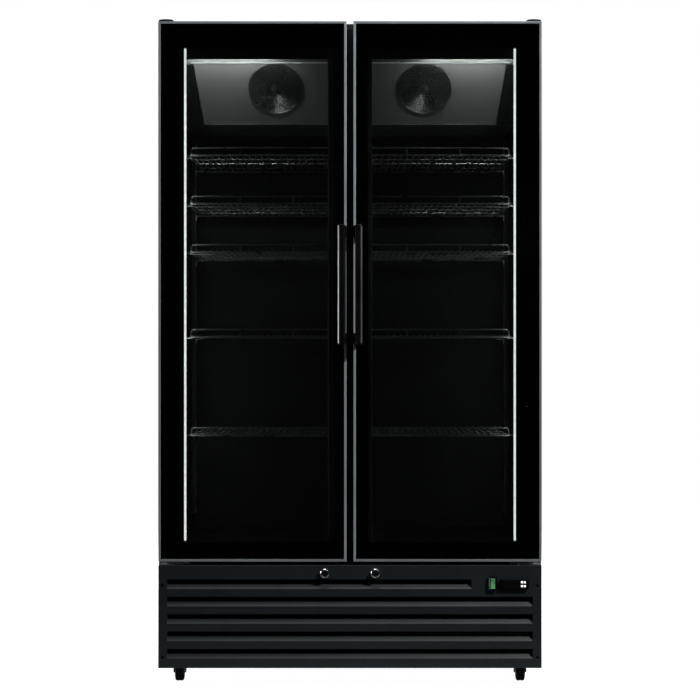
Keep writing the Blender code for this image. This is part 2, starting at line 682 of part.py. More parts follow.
def make_door(side, sign):
    x0, x1 = sideways(sign, DOOR_INNER, HALF)
    axis_x = sign * (HALF - PIVOT_INSET)
    axis_y = DOOR_FRONT + PIVOT_INSET
    frame = box(f"{side}_door_frame", (x0, DOOR_FRONT, DOOR_BOTTOM), (x1, DOOR_BACK, DOOR_TOP), EDGE_TRIM)
    pocket = GLASS_RECESS + GLASS_UNIT + FIT
    cut(frame,
        box(f"{side}_glass_pocket", (x0 + DOOR_LIP, DOOR_FRONT - THROUGH, DOOR_BOTTOM + DOOR_LIP),
            (x1 - DOOR_LIP, DOOR_FRONT + pocket, DOOR_TOP - DOOR_LIP)),
        box(f"{side}_door_window", (x0 + DOOR_RAIL, DOOR_FRONT, DOOR_BOTTOM + DOOR_RAIL),
            (x1 - DOOR_RAIL, DOOR_BACK + THROUGH, DOOR_TOP - DOOR_RAIL)))
    hole = PIN_RADIUS + PIN_CLEARANCE
    deep = PIN_DEPTH + 0.001
    ends = (
        ("top", DOOR_TOP - deep, DOOR_TOP + THROUGH),
        ("bottom", DOOR_BOTTOM - THROUGH, DOOR_BOTTOM + deep),
    )
    for name, low, high in ends:
        bore = cylinder(f"{side}_{name}_pin_hole", hole, low, high, "Z", (axis_x, axis_y), sides=PIN_SIDES)
        cut(frame, bore)
    slot_x = sideways(sign, LOCK_X - 0.012, LOCK_X + 0.034)
    room = 0.0015
    slot_y = (CAM_Y - room, CAM_Y + CAM_THICK + room)
    cut(frame, box(f"{side}_lock_slot", (slot_x[0], slot_y[0], DOOR_BOTTOM - THROUGH),
                   (slot_x[1], slot_y[1], DOOR_BOTTOM + DOOR_LIP - 0.001)))

    inset = DOOR_LIP + FIT
    front = DOOR_FRONT + GLASS_RECESS
    glass = box(f"{side}_door_glass", (x0 + inset, front, DOOR_BOTTOM + inset),
                (x1 - inset, front + GLASS_UNIT, DOOR_TOP - inset), GLASS)
    edge = inset + SPACER
    middle = (x0 + x1) / 2
    port = 0.003
    cut(glass,
        box(f"{side}_glass_gap", (x0 + edge, front + PANE, DOOR_BOTTOM + edge),
            (x1 - edge, front + GLASS_UNIT - PANE, DOOR_TOP - edge)),
        box(f"{side}_gas_port", (middle - port, front + GLASS_UNIT / 2 - port, DOOR_TOP - edge - THROUGH),
            (middle + port, front + GLASS_UNIT / 2 + port, DOOR_TOP)))

    rim, bore = GASKET_INSET, GASKET_INSET + GASKET_WIDTH
    gasket = box(f"{side}_door_gasket", (x0 + rim, DOOR_BACK + FIT, DOOR_BOTTOM + rim),
                 (x1 - rim, CABINET_FRONT - FIT, DOOR_TOP - rim), RUBBER)
    cut(gasket, box(f"{side}_gasket_hollow", (x0 + bore, DOOR_BACK - THROUGH, DOOR_BOTTOM + bore),
                    (x1 - bore, CABINET_FRONT + THROUGH, DOOR_TOP - bore)))

    bar_x = sideways(sign, HANDLE_X - HANDLE_WIDTH / 2, HANDLE_X + HANDLE_WIDTH / 2)
    handle = box(f"{side}_door_handle", (bar_x[0], FRONT, HANDLE_SPAN[0]),
                 (bar_x[1], FRONT + HANDLE_THICK, HANDLE_SPAN[1]), BLACK_ENAMEL, bevel=0.004)
    foot_x = sideways(sign, DOOR_INNER + 0.0008, HANDLE_X + HANDLE_WIDTH / 2 - 0.0005)
    foot_front = FRONT + HANDLE_THICK - 0.005
    for i, (low, high) in enumerate(STANDOFFS):
        foot_high = (foot_x[1], DOOR_FRONT - FIT, high)
        join(handle, box(f"{side}_standoff_{i}", (foot_x[0], foot_front, low), foot_high))

    hang(pivot(f"{side}_door_hinge", (axis_x, axis_y, DOOR_BOTTOM)), frame, glass, gasket, handle)


def make_hinges():
    axis_y = DOOR_FRONT + PIVOT_INSET
    front = DOOR_FRONT + 0.0015
    for side, sign in SIDES:
        axis = (sign * (HALF - PIVOT_INSET), axis_y)
        x0, x1 = sideways(sign, HALF - 0.0455, HALF - 0.0015)
        cover_high = (x1, CABINET_FRONT + HINGE_REACH, HEIGHT)
        cover_low = (x0, front, CABINET_TOP + FIT)
        cover = box(f"{side}_top_hinge", cover_low, cover_high, BLACK_PLASTIC, bevel=0.002)
        join(cover, cylinder(f"{side}_top_pin", PIN_RADIUS, DOOR_TOP - PIN_DEPTH, CABINET_TOP + 0.003,
                             "Z", axis, sides=PIN_SIDES))

        x0, x1 = sideways(sign, HALF - 0.096, HALF - 0.001)
        low, high = PANEL_TOP + 0.0015, DOOR_BOTTOM - 0.0025
        back = CABINET_FRONT - FIT
        bracket = box(f"{side}_bottom_hinge", (x0, front, low), (x1, back, DOOR_BOTTOM + 0.019), ZINC)
        cut(bracket, box(f"{side}_bottom_hollow", (-HALF, front - THROUGH, high),
                         (HALF, back - 0.0022, HEIGHT)))
        join(bracket, cylinder(f"{side}_bottom_pin", PIN_RADIUS, low + 0.001, DOOR_BOTTOM + PIN_DEPTH,
                               "Z", axis, sides=PIN_SIDES))


# ---------------------------------------------------------------- locks and controls

def make_locks():
    head_front = DOOR_FRONT - PROUD
    for side, sign in SIDES:
        x = sign * LOCK_X
        plug = cylinder(f"{side}_lock", LOCK_HEAD, head_front, DOOR_FRONT - FIT, "Y", (x, LOCK_Z), CHROME)
        barrel = cylinder(f"{side}_lock_barrel", LOCK_BARREL, DOOR_FRONT - 0.002, CAM_Y + 0.001,
                          "Y", (x, LOCK_Z))
        cam_x = sideways(sign, LOCK_X - CAM_WIDTH / 2, LOCK_X + CAM_REACH)
        cam = box(f"{side}_lock_cam", (cam_x[0], CAM_Y, LOCK_Z - CAM_WIDTH / 2),
                  (cam_x[1], CAM_Y + CAM_THICK, LOCK_Z + CAM_WIDTH / 2))
        join(plug, barrel, cam)
        half_wide, half_tall, deep = 0.001, 0.006, 0.003
        cut(plug, box(f"{side}_key_slot", (x - half_wide, head_front - THROUGH, LOCK_Z - half_tall),
                      (x + half_wide, head_front + deep, LOCK_Z + half_tall)))
        hang(pivot(f"{side}_lock_axis", (x, DOOR_FRONT, LOCK_Z)), plug)


def make_controls():
    face = DOOR_FRONT - PROUD
    left, right = CONTROL_X
    low, high = CONTROL_Z
    high_corner = (right, DOOR_FRONT - FIT, high)
    housing = box("controller_housing", (left, face, low), high_corner, BLACK_PLASTIC, bevel=0.001)
    body = box("controller_body", (left + 0.0035, DOOR_FRONT - 0.002, low + 0.0025),
               (right - 0.0035, DOOR_FRONT + CONTROL_BODY, high - 0.0025))
    join(housing, body)
    border = 0.006
    cut(housing, box("display_recess", (left + border, face - THROUGH, low + border),
                     (BUTTON_X[0] - 0.009, face + 0.001, high - border)))
    for i, (x, z) in enumerate((x, z) for z in BUTTON_Z for x in BUTTON_X):
        hole_end = face + BUTTON_DEPTH
        cut(housing, cylinder(f"button_hole_{i + 1}", BUTTON_RADIUS + PIN_CLEARANCE, face - THROUGH, hole_end,
                              "Y", (x, z), sides=20))
        button_end = hole_end - BUTTON_TRAVEL - 0.0005
        button = cylinder(f"controller_button_{i + 1}", BUTTON_RADIUS, face - BUTTON_PROUD, button_end,
                          "Y", (x, z), WHITE_PLASTIC, sides=20)
        smooth(button)
        hang(pivot(f"controller_button_{i + 1}_slide", (x, face, z)), button)

    wide, tall = SWITCH_SIZE
    axis = Vector((SWITCH_X, DOOR_FRONT + PANEL_SHEET, SWITCH_Z))
    proud, deep, hollow, taper = PROUD + PANEL_SHEET, 0.010, 0.0020, 0.004
    outline = [(-proud, -tall / 2), (-proud + hollow, 0), (-proud, tall / 2), (deep, tall / 2 - taper),
               (deep, taper - tall / 2)]
    rocker = plate("light_switch", [(y, z) for y, z in reversed(outline)], [], wide, GREEN_PLASTIC)
    rocker.rotation_euler = (math.pi / 2, 0, math.pi / 2)
    rocker.location = axis
    hang(pivot("light_switch_axis", axis), rocker)


# ---------------------------------------------------------------- casters

def make_casters():
    for place, y in zip(("front", "rear"), CASTER_Y):
        for side, sign in SIDES:
            x = sign * CASTER_X
            name = f"{place}_{side}_caster"
            axle_y = y + WHEEL_TRAIL
            swivel = pivot(f"{name}_swivel", (x, y, FORK_TOP))
            fork = cylinder(f"{name}_fork", FORK_DISC, FORK_TOP - 0.004, FORK_TOP, "Z", (x, y), BLACK_ENAMEL)
            eye_top, eye_low = WHEEL_RADIUS + 0.004, WHEEL_RADIUS - 0.007
            outline = [(-0.014, FORK_TOP - 0.0005), (0.014, FORK_TOP - 0.0005),
                       (WHEEL_TRAIL + 0.007, eye_top), (WHEEL_TRAIL + 0.005, eye_low),
                       (WHEEL_TRAIL - 0.005, eye_low), (WHEEL_TRAIL - 0.007, eye_top)]
            for cheek, flip in (("outer", sign), ("inner", -sign)):
                side_plate = plate(f"{name}_{cheek}_cheek", outline, [], FORK_CHEEK)
                side_plate.rotation_euler = (math.pi / 2, 0, math.pi / 2)
                side_plate.location = (x + flip * (FORK_INNER + FORK_CHEEK / 2), y, 0)
                join(fork, side_plate)
            reach = FORK_INNER + FORK_CHEEK + 0.0025
            join(fork,
                 cylinder(f"{name}_axle", AXLE_RADIUS, x - reach, x + reach, "X", (axle_y, WHEEL_RADIUS),
                          sides=PIN_SIDES),
                 cylinder(f"{name}_kingpin", KINGPIN_RADIUS, FORK_TOP - 0.002, TRAY + 0.006, "Z", (x, y),
                          sides=PIN_SIDES))
            hang(swivel, fork)

            half = WHEEL_WIDTH / 2
            bore = AXLE_RADIUS + PIN_CLEARANCE
            soften = 0.004
            profile = [(bore, half), (WHEEL_RADIUS - soften, half), (WHEEL_RADIUS, half - soften),
                       (WHEEL_RADIUS, soften - half), (WHEEL_RADIUS - soften, -half), (bore, -half)]
            wheel = turned(f"{name}_wheel", profile, "X", (x, axle_y, WHEEL_RADIUS), RUBBER, steps=40)
            smooth(wheel)
            axle = pivot(f"{name}_axle_line", (x, axle_y, WHEEL_RADIUS))
            hang(axle, wheel)
            axle.parent = swivel
            axle.location = axle.location - swivel.location


SIDES = (("left", -1), ("right", 1))

clear_scene()
PARTS = new_collection("glass_door_merchandiser")
HELPERS = new_collection("cutters_and_joined_pieces")

BLACK_STEEL = finish("black_powder_coat", (0.012, 0.012, 0.013), 0.45, 0.0)
CHARCOAL = finish("charcoal_powder_coat", (0.013, 0.016, 0.017), 0.45, 0.0)
GREY_STEEL = finish("galvanised_steel", (0.45, 0.46, 0.47), 0.45, 0.9)
WHITE_STEEL = finish("evaporator_cover_coat", (0.20, 0.21, 0.22), 0.40, 0.0)
FOAM = finish("polyurethane_foam", (0.75, 0.66, 0.42), 0.95)
BLACK_LINER = finish("black_liner", (0.010, 0.010, 0.011), 0.40)
BLACK_ENAMEL = finish("black_enamel", (0.008, 0.008, 0.009), 0.30)
BLACK_PLASTIC = finish("black_plastic", (0.012, 0.012, 0.013), 0.50)
BLACK_WIRE = finish("black_coated_wire", (0.012, 0.012, 0.012), 0.40)
WHITE_PLASTIC = finish("white_button_plastic", (0.80, 0.80, 0.80), 0.40)
GREEN_PLASTIC = finish("green_rocker_plastic", (0.03, 0.30, 0.12), 0.35)
LED_WHITE = finish("led_diffuser", (0.90, 0.92, 0.95), 0.50)
EDGE_TRIM = finish("grey_edge_trim", (0.19, 0.21, 0.22), 0.40, 0.7)
DARK_ALUMINIUM = finish("coil_aluminium", (0.50, 0.51, 0.52), 0.40, 0.9)
ZINC = finish("zinc_plate", (0.55, 0.56, 0.57), 0.35, 0.9)
CHROME = finish("lock_chrome", (0.60, 0.60, 0.62), 0.15, 1.0)
GLASS = finish("insulated_glass", (0.80, 0.88, 0.86), 0.05)
RUBBER = finish("black_rubber", (0.015, 0.015, 0.015), 0.80)

make_skins()
make_insulation()
make_mullion()
make_base()
make_front_grille()
make_compressor()
make_condenser()
make_electrical_box()
make_evaporator()
make_shelves()
make_light_bars()
for door_side, door_sign in SIDES:
    make_door(door_side, door_sign)
make_hinges()
make_locks()
make_controls()
make_casters()
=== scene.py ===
"""Looks of the two-door glass door merchandiser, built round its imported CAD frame.

Metres, +Z up. The doors face -Y and +X is to the right of someone facing them. Every place comes
from the frame's own boxes, so each piece sits where the CAD says.
"""

import json
import math

import bmesh
import bpy
from mathutils import Matrix, Vector


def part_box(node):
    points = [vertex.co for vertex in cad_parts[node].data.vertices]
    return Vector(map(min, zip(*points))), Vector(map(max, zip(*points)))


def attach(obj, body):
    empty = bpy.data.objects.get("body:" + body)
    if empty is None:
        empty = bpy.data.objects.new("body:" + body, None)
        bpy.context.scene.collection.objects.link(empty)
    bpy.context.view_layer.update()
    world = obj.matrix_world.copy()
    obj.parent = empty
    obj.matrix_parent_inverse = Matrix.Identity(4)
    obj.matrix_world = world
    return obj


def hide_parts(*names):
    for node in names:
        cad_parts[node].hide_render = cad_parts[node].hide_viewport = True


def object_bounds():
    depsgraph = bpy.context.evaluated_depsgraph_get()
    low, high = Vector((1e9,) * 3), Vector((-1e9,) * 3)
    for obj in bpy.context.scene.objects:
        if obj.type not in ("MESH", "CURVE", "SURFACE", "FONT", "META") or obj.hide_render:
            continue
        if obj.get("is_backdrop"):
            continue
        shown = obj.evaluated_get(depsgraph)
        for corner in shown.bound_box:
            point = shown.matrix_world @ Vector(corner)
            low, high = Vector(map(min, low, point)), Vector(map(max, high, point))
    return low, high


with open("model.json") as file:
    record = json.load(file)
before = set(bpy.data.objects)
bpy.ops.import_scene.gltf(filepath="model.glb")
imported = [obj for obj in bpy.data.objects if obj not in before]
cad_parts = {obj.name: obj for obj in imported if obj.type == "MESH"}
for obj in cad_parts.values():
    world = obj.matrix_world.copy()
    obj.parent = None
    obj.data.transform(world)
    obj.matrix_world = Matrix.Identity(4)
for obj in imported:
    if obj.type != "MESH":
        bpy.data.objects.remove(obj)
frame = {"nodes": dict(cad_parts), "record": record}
CAD_LOW, CAD_HIGH = (Vector(corner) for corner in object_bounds())

SIDES = (("left", -1), ("right", 1))
FIT = 0.0003  # clearance between neighbours
LIP = 0.0072  # trim in front of the glass, all round each door


def corners(node):
    low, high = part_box(node)
    return Vector(low), Vector(high)


# Planes and places, read from the frame
DOOR_LOW, DOOR_HIGH = corners("right_door_frame")
PANEL_LOW, PANEL_HIGH = corners("front_grille")
SIDE_LOW, SIDE_HIGH = corners("right_side_panel")
TOP_LOW, TOP_HIGH = corners("top_panel")
DECK_LOW, _ = corners("floor_deck")
LINER_LOW, LINER_HIGH = corners("inner_liner")
MULLION_LOW, MULLION_HIGH = corners("center_mullion")
_, COVER_HIGH = corners("evaporator_cover")
TRAY_LOW, _ = corners("base_tray")
DOOR_FRONT = DOOR_LOW.y
DOOR_BACK = DOOR_HIGH.y
CABINET_FRONT = SIDE_LOW.y
HALF = SIDE_HIGH.x
INSIDE = SIDE_LOW.x
REAR = CAD_HIGH.y
SKIN = 0.0015
FLOOR = LINER_LOW.z + SKIN
CEILING = LINER_HIGH.z - SKIN
INSIDE_REAR = LINER_HIGH.y - SKIN
PILASTER = 0.012  # how far a pilaster stands out
PILASTER_WIDTH = 0.030
PILASTER_SPAN = (FLOOR + 0.050, FLOOR + 1.300)
PILASTER_PLACES = (-0.135, 0.245)
MULLION_FACE = MULLION_LOW.y + 0.050
MULLION_STANDARD_X = 0.0165
SHARP_ANGLE = math.radians(38)


# ---------------------------------------------------------------- mesh tools

class Shape:
    """Gathers solids into one mesh, which then becomes one visible piece."""

    def __init__(self):
        self.bm = bmesh.new()
        self.paint = 0  # material index of what is added next

    def take(self, part, turn=None, smooth=True):
        """Adds a bmesh and frees it."""
        if turn is not None:
            bmesh.ops.transform(part, matrix=turn, verts=part.verts)
        for face in part.faces:
            face.material_index = self.paint
            face.smooth = smooth
        mesh = bpy.data.meshes.new("part")
        part.to_mesh(mesh)
        part.free()
        self.bm.from_mesh(mesh)
        bpy.data.meshes.remove(mesh)

    def box(self, low, high, bevel=0.0006, segments=2, turn=None, smooth=True):
        low, high = Vector(low), Vector(high)
        part = bmesh.new()
        bmesh.ops.create_cube(part, size=1.0)
        bmesh.ops.scale(part, vec=high - low, verts=part.verts)
        bmesh.ops.translate(part, vec=(low + high) / 2, verts=part.verts)
        if bevel:
            round_edges(part, part.edges[:], bevel, segments)
        self.take(part, turn, smooth)

    def prism(self, outline, axis, low, high, bevel=0.0, segments=2, turn=None):
        """A flat outline drawn out along an axis, from low to high."""
        part = bmesh.new()
        verts = [part.verts.new(on_axis(axis, low, u, v)) for u, v in outline]
        face = part.faces.new(verts)
        draw_out(part, [face], on_axis(axis, high - low, 0, 0))
        if bevel:
            round_edges(part, [e for e in part.edges if e.calc_face_angle(0) > 0.6], bevel, segments)
        self.take(part, turn)

    def rod(self, points, radius, sides=8, closed=False, turn=None):
        """A round wire along points, mitred at each bend."""
        points = [Vector(p) for p in points]
        count = len(points)
        part = bmesh.new()
        rings = []
        side = None
        for i, point in enumerate(points):
            if closed:
                before, after = points[i - 1], points[(i + 1) % count]
            else:
                before, after = points[max(i - 1, 0)], points[min(i + 1, count - 1)]
            into = (point - before).normalized() if point != before else (after - point).normalized()
            out = (after - point).normalized() if after != point else into
            along = (into + out).normalized()
            if side is None:
                side = along.orthogonal().normalized()
            side = (side - along * side.dot(along)).normalized()
            up = along.cross(side)
            stretch = 1 / max(math.sqrt((1 + into.dot(out)) / 2), 0.5)
            bend = out - into
            bend = bend.normalized() if bend.length > 1e-6 else None
            ring = []
            for angle in turns(sides):
                offset = side * (radius * math.cos(angle)) + up * (radius * math.sin(angle))
                if bend is not None:
                    offset += bend * offset.dot(bend) * (stretch - 1)
                ring.append(part.verts.new(point + offset))
            rings.append(ring)
        spans = range(count) if closed else range(count - 1)
        for i in spans:
            ring, following = rings[i], rings[(i + 1) % count]
            shift = 0
            if closed and i == count - 1:
                shift = nearest_shift(ring, following)
            for k in range(sides):
                a, b = ring[k], ring[(k + 1) % sides]
                c, d = following[(k + 1 + shift) % sides], following[(k + shift) % sides]
                part.faces.new((a, b, c, d))
        if not closed:
            part.faces.new(rings[0][::-1])
            part.faces.new(rings[-1])
        bmesh.ops.recalc_face_normals(part, faces=part.faces)
        self.take(part, turn)

    def turned(self, profile, axis, centre, sides=32, turn=None, closed=False):
        """A body of revolution from (radius, height) pairs along an axis through centre."""
        part = bmesh.new()
        rings = []
        for radius, height in profile:
            if radius < 1e-6:
                rings.append([part.verts.new((0, 0, height))])
                continue
            rings.append([
                part.verts.new((radius * math.cos(a), radius * math.sin(a), height))
                for a in turns(sides)
            ])
        pairs = list(zip(rings, rings[1:]))
        if closed:
            pairs.append((rings[-1], rings[0]))
        for ring, following in pairs:
            for k in range(sides):
                corners_of = [ring[k % len(ring)], ring[(k + 1) % len(ring)],
                              following[(k + 1) % len(following)], following[k % len(following)]]
                unique = list(dict.fromkeys(corners_of))
                if len(unique) > 2:
                    part.faces.new(unique)
        bmesh.ops.recalc_face_normals(part, faces=part.faces)
        place = Matrix.Translation(Vector(centre)) @ AXES[axis]
        bmesh.ops.transform(part, matrix=place, verts=part.verts)
        self.take(part, turn)

    def ring_profile(self, x, z, profile):
        """A closed (inset, y) profile carried round a rectangle in the XZ plane, with mitred corners."""
        part = bmesh.new()
        loops = []
        for sx, sz in ((0, 0), (1, 0), (1, 1), (0, 1)):
            loops.append([
                part.verts.new((x[sx] + (inset if sx == 0 else -inset), y,
                                z[sz] + (inset if sz == 0 else -inset)))
                for inset, y in profile
            ])
        count = len(profile)
        for i in range(4):
            here, there = loops[i], loops[(i + 1) % 4]
            for k in range(count):
                part.faces.new((here[k], here[(k + 1) % count], there[(k + 1) % count], there[k]))
        bmesh.ops.recalc_face_normals(part, faces=part.faces)
        self.take(part)

    def sheet(self, xs, zs, keep, axis, place, thick, turn=None):
        """A flat sheet on a grid of lines, with a hole where keep(i, j) is false."""
        part = bmesh.new()
        grid = {}
        for i, u in enumerate(xs):
            for j, v in enumerate(zs):
                grid[i, j] = part.verts.new(on_axis(axis, place, u, v))
        faces = [
            part.faces.new((grid[i, j], grid[i + 1, j], grid[i + 1, j + 1], grid[i, j + 1]))
            for i in range(len(xs) - 1)
            for j in range(len(zs) - 1)
            if keep(i, j)
        ]
        loose = [v for v in part.verts if not v.link_faces]
        bmesh.ops.delete(part, geom=loose, context="VERTS")
        draw_out(part, faces, on_axis(axis, thick, 0, 0))
        self.take(part, turn)

    def done(self, name, materials, body, replaces=(), cutter=None):
        """Turns what was gathered into a piece of the object, riding on a body."""
        mesh = bpy.data.meshes.new(name)
        self.bm.to_mesh(mesh)
        self.bm.free()
        obj = bpy.data.objects.new(name, mesh)
        for each in materials if isinstance(materials, (list, tuple)) else [materials]:
            mesh.materials.append(each)
        bpy.context.scene.collection.objects.link(obj)
        if cutter is not None:
            carve(obj, cutter)
        obj.data.set_sharp_from_angle(angle=SHARP_ANGLE)
        even = obj.modifiers.new("even", "WEIGHTED_NORMAL")
        even.keep_sharp = True
        bake(obj)
        if replaces:
            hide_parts(*replaces)
        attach(obj, body)
        return obj


AXES = {
    "X": Matrix.Rotation(math.pi / 2, 4, "Y"),
    "Y": Matrix.Rotation(-math.pi / 2, 4, "X"),
    "Z": Matrix.Identity(4),
}


def on_axis(axis, along, u, v):
    """A point from its place along an axis and its other two coordinates, in order."""
    if axis == "X":
        return Vector((along, u, v))
    if axis == "Y":
        return Vector((u, along, v))
    return Vector((u, v, along))


def turns(count):
    """The angles of evenly spaced points round a circle."""
    return [2 * math.pi * k / count for k in range(count)]


def draw_out(part, faces, step):
    """Extrudes faces of a bmesh by a vector, and turns every face outward."""
    made = bmesh.ops.extrude_face_region(part, geom=faces)
    moved = [g for g in made["geom"] if isinstance(g, bmesh.types.BMVert)]
    bmesh.ops.translate(part, vec=step, verts=moved)
    bmesh.ops.recalc_face_normals(part, faces=part.faces)


def round_edges(part, edges, offset, segments):
    bmesh.ops.bevel(part, geom=edges, offset=offset, segments=segments, profile=0.5, affect="EDGES",
                    clamp_overlap=True)


def nearest_shift(ring, following):
    """How far a closed wire's last ring is turned from its first."""
    sides = len(ring)
    return min(range(sides), key=lambda s: (ring[0].co - following[s].co).length)


def carve(obj, cutter):
    """Cuts a Shape out of a piece for good."""
    mesh = bpy.data.meshes.new("cutter")
    cutter.bm.to_mesh(mesh)
    cutter.bm.free()
    tool = bpy.data.objects.new("cutter", mesh)
    bpy.context.scene.collection.objects.link(tool)
    step = obj.modifiers.new("cut", "BOOLEAN")
    step.operation = "DIFFERENCE"
    step.solver = "EXACT"
    step.object = tool
    bake(obj)
    bpy.data.objects.remove(tool, do_unlink=True)
    bpy.data.meshes.remove(mesh)


def bake(obj):
    """Turns an object's modifiers into plain mesh."""
    bpy.context.view_layer.update()
    graph = bpy.context.evaluated_depsgraph_get()
    mesh = bpy.data.meshes.new_from_object(obj.evaluated_get(graph))
    obj.modifiers.clear()
    old = obj.data
    obj.data = mesh
    mesh.name = old.name
    bpy.data.meshes.remove(old)


def arc(centre, radius, start, end, steps=5):
    """Points (u, v) on an arc, angles in degrees."""
    angles = [math.radians(start + (end - start) * i / steps) for i in range(steps + 1)]
    return [(centre[0] + radius * math.cos(a), centre[1] + radius * math.sin(a)) for a in angles]


def rounded_corner(before, corner, after, radius, steps):
    """Points on the curve that takes the place of a corner."""
    a, b = (before - corner).normalized(), (after - corner).normalized()
    start, end = corner + a * radius, corner + b * radius
    return [start * (1 - t) ** 2 + corner * 2 * t * (1 - t) + end * t ** 2
            for t in (i / steps for i in range(steps + 1))]


def rounded_path(points, radius, steps=5):
    """A polyline through 3-D points with each inner corner rounded."""
    points = [Vector(p) for p in points]
    path = [points[0]]
    for before, corner, after in zip(points, points[1:], points[2:]):
        path += rounded_corner(before, corner, after, radius, steps)
    return path + [points[-1]]


def closed_path(points, radius, steps=5):
    """A closed loop through 3-D points with every corner rounded."""
    points = [Vector(p) for p in points]
    path = []
    for i, corner in enumerate(points):
        path += rounded_corner(points[i - 1], corner, points[(i + 1) % len(points)], radius, steps)
    return path


def cylinder(radius, low, high):
    """The (radius, height) pairs of a plain cylinder."""
    return [(0, low), (radius, low), (radius, high), (0, high)]


def ways(sign, near, far):
    """The X interval between two distances from the middle, on the side that sign names."""
    return sorted((sign * near, sign * far))


# ---------------------------------------------------------------- materials

def node(tree, kind, **values):
    made = tree.nodes.new(kind)
    for key, value in values.items():
        setattr(made, key, value)
    return made


def put(made, values):
    """Sets inputs of a node by name."""
    for name, value in values.items():
        made.inputs[name].default_value = value


def blank(name):
    """A new material, its tree, its shader and its object coordinates."""
    made = bpy.data.materials.new(name)
    made.use_nodes = True
    tree = made.node_tree
    where = node(tree, "ShaderNodeTexCoord").outputs["Object"]
    return made, tree, tree.nodes["Principled BSDF"], where


def noise(tree, where, scale, detail=3.0, rough=0.55, stretch=(1, 1, 1)):
    mapping = node(tree, "ShaderNodeMapping")
    put(mapping, {"Scale": stretch})
    tree.links.new(where, mapping.inputs["Vector"])
    made = node(tree, "ShaderNodeTexNoise")
    put(made, {"Scale": scale, "Detail": detail, "Roughness": rough})
    tree.links.new(mapping.outputs["Vector"], made.inputs["Vector"])
    return made.outputs["Fac"]


def remap(tree, value, low, high, new_low, new_high):
    made = node(tree, "ShaderNodeMapRange")
    put(made, {"From Min": low, "From Max": high, "To Min": new_low, "To Max": new_high})
    tree.links.new(value, made.inputs["Value"])
    return made.outputs["Result"]


def blend(tree, fac, one, two):
    made = node(tree, "ShaderNodeMix", data_type="RGBA")
    tree.links.new(fac, made.inputs["Factor"])
    for socket, value in ((made.inputs[6], one), (made.inputs[7], two)):
        if isinstance(value, bpy.types.NodeSocket):
            tree.links.new(value, socket)
        else:
            socket.default_value = (*value, 1.0)
    return made.outputs[2]


def scaled(colour, factor):
    return tuple(min(c * factor, 1.0) for c in colour)


DUST_COLOUR = (0.30, 0.29, 0.27)


def finish(name, colour, roughness, metallic=0.0, mottle=0.12, mottle_scale=9.0, grain=700.0,
           grain_depth=0.0001, stretch=(1, 1, 1), rough_spread=0.08, dust=0.0, coat=0.0, specular=0.5):
    """A surface whose colour, roughness and fine relief all vary with noise in the object's own space."""
    made, tree, shader, where = blank(name)
    broad = noise(tree, where, mottle_scale, 4.0)
    fine = noise(tree, where, grain, 2.0, stretch=stretch)
    base = blend(tree, remap(tree, broad, 0.3, 0.7, 0, 1), scaled(colour, 1 - mottle),
                 scaled(colour, 1 + mottle))
    base = blend(tree, remap(tree, fine, 0.35, 0.75, 0, 0.5), base, scaled(colour, 1 + 2 * mottle))
    if dust:
        specks = remap(tree, noise(tree, where, mottle_scale * 2.3, 6.0, 0.7), 0.52, 0.80, 0, dust)
        base = blend(tree, specks, base, DUST_COLOUR)
    tree.links.new(base, shader.inputs["Base Color"])
    rough = remap(tree, broad, 0.3, 0.7, roughness - rough_spread, roughness + rough_spread)
    tree.links.new(rough, shader.inputs["Roughness"])
    put(shader, {"Metallic": metallic, "Specular IOR Level": specular, "Coat Weight": coat})
    bump = node(tree, "ShaderNodeBump")
    put(bump, {"Distance": grain_depth, "Strength": 0.6})
    tree.links.new(fine, bump.inputs["Height"])
    tree.links.new(bump.outputs["Normal"], shader.inputs["Normal"])
    return made


def spangle(name, colour, roughness):
    """Galvanised sheet: flat crystals of slightly different tone."""
    made = finish(name, colour, roughness, metallic=0.7, mottle=0.05, grain=300, dust=0.04, rough_spread=0.03)
    tree = made.node_tree
    shader = tree.nodes["Principled BSDF"]
    where = node(tree, "ShaderNodeTexCoord").outputs["Object"]
    cells = node(tree, "ShaderNodeTexVoronoi")
    put(cells, {"Scale": 75})
    tree.links.new(where, cells.inputs["Vector"])
    tone = node(tree, "ShaderNodeSeparateColor")
    tree.links.new(cells.outputs["Color"], tone.inputs["Color"])
    old = shader.inputs["Base Color"].links[0].from_socket
    crystal = remap(tree, tone.outputs["Red"], 0, 1, 0, 0.35)
    tree.links.new(blend(tree, crystal, old, scaled(colour, 1.5)), shader.inputs["Base Color"])
    return made


def glass_material(name, tint, roughness):
    """Clear glass with a faint film of handling marks in its gloss."""
    made, tree, shader, where = blank(name)
    film = noise(tree, where, 7.0, 6.0, 0.6)
    tree.links.new(remap(tree, film, 0.45, 0.8, roughness, roughness + 0.03), shader.inputs["Roughness"])
    shade = blend(tree, remap(tree, film, 0.4, 0.8, 0, 1), tint, scaled(tint, 0.985))
    tree.links.new(shade, shader.inputs["Base Color"])
    put(shader, {"Transmission Weight": 1.0, "IOR": 1.45})
    return made


def light_material(name, colour, strength):
    """An opal diffuser lit from behind by a row of small lamps."""
    made, tree, shader, where = blank(name)
    wave = node(tree, "ShaderNodeTexWave", bands_direction="Z")
    put(wave, {"Scale": 9.0})
    tree.links.new(where, wave.inputs["Vector"])
    glow = blend(tree, wave.outputs["Fac"], scaled(colour, 0.93), colour)
    tree.links.new(glow, shader.inputs["Base Color"])
    tree.links.new(glow, shader.inputs["Emission Color"])
    put(shader, {"Emission Strength": strength, "Roughness": 0.5})
    return made


BRUSHED_UP = {"grain": 900, "stretch": (1, 1, 0.02)}
BRUSHED_ACROSS = {"grain": 900, "stretch": (0.02, 1, 1)}

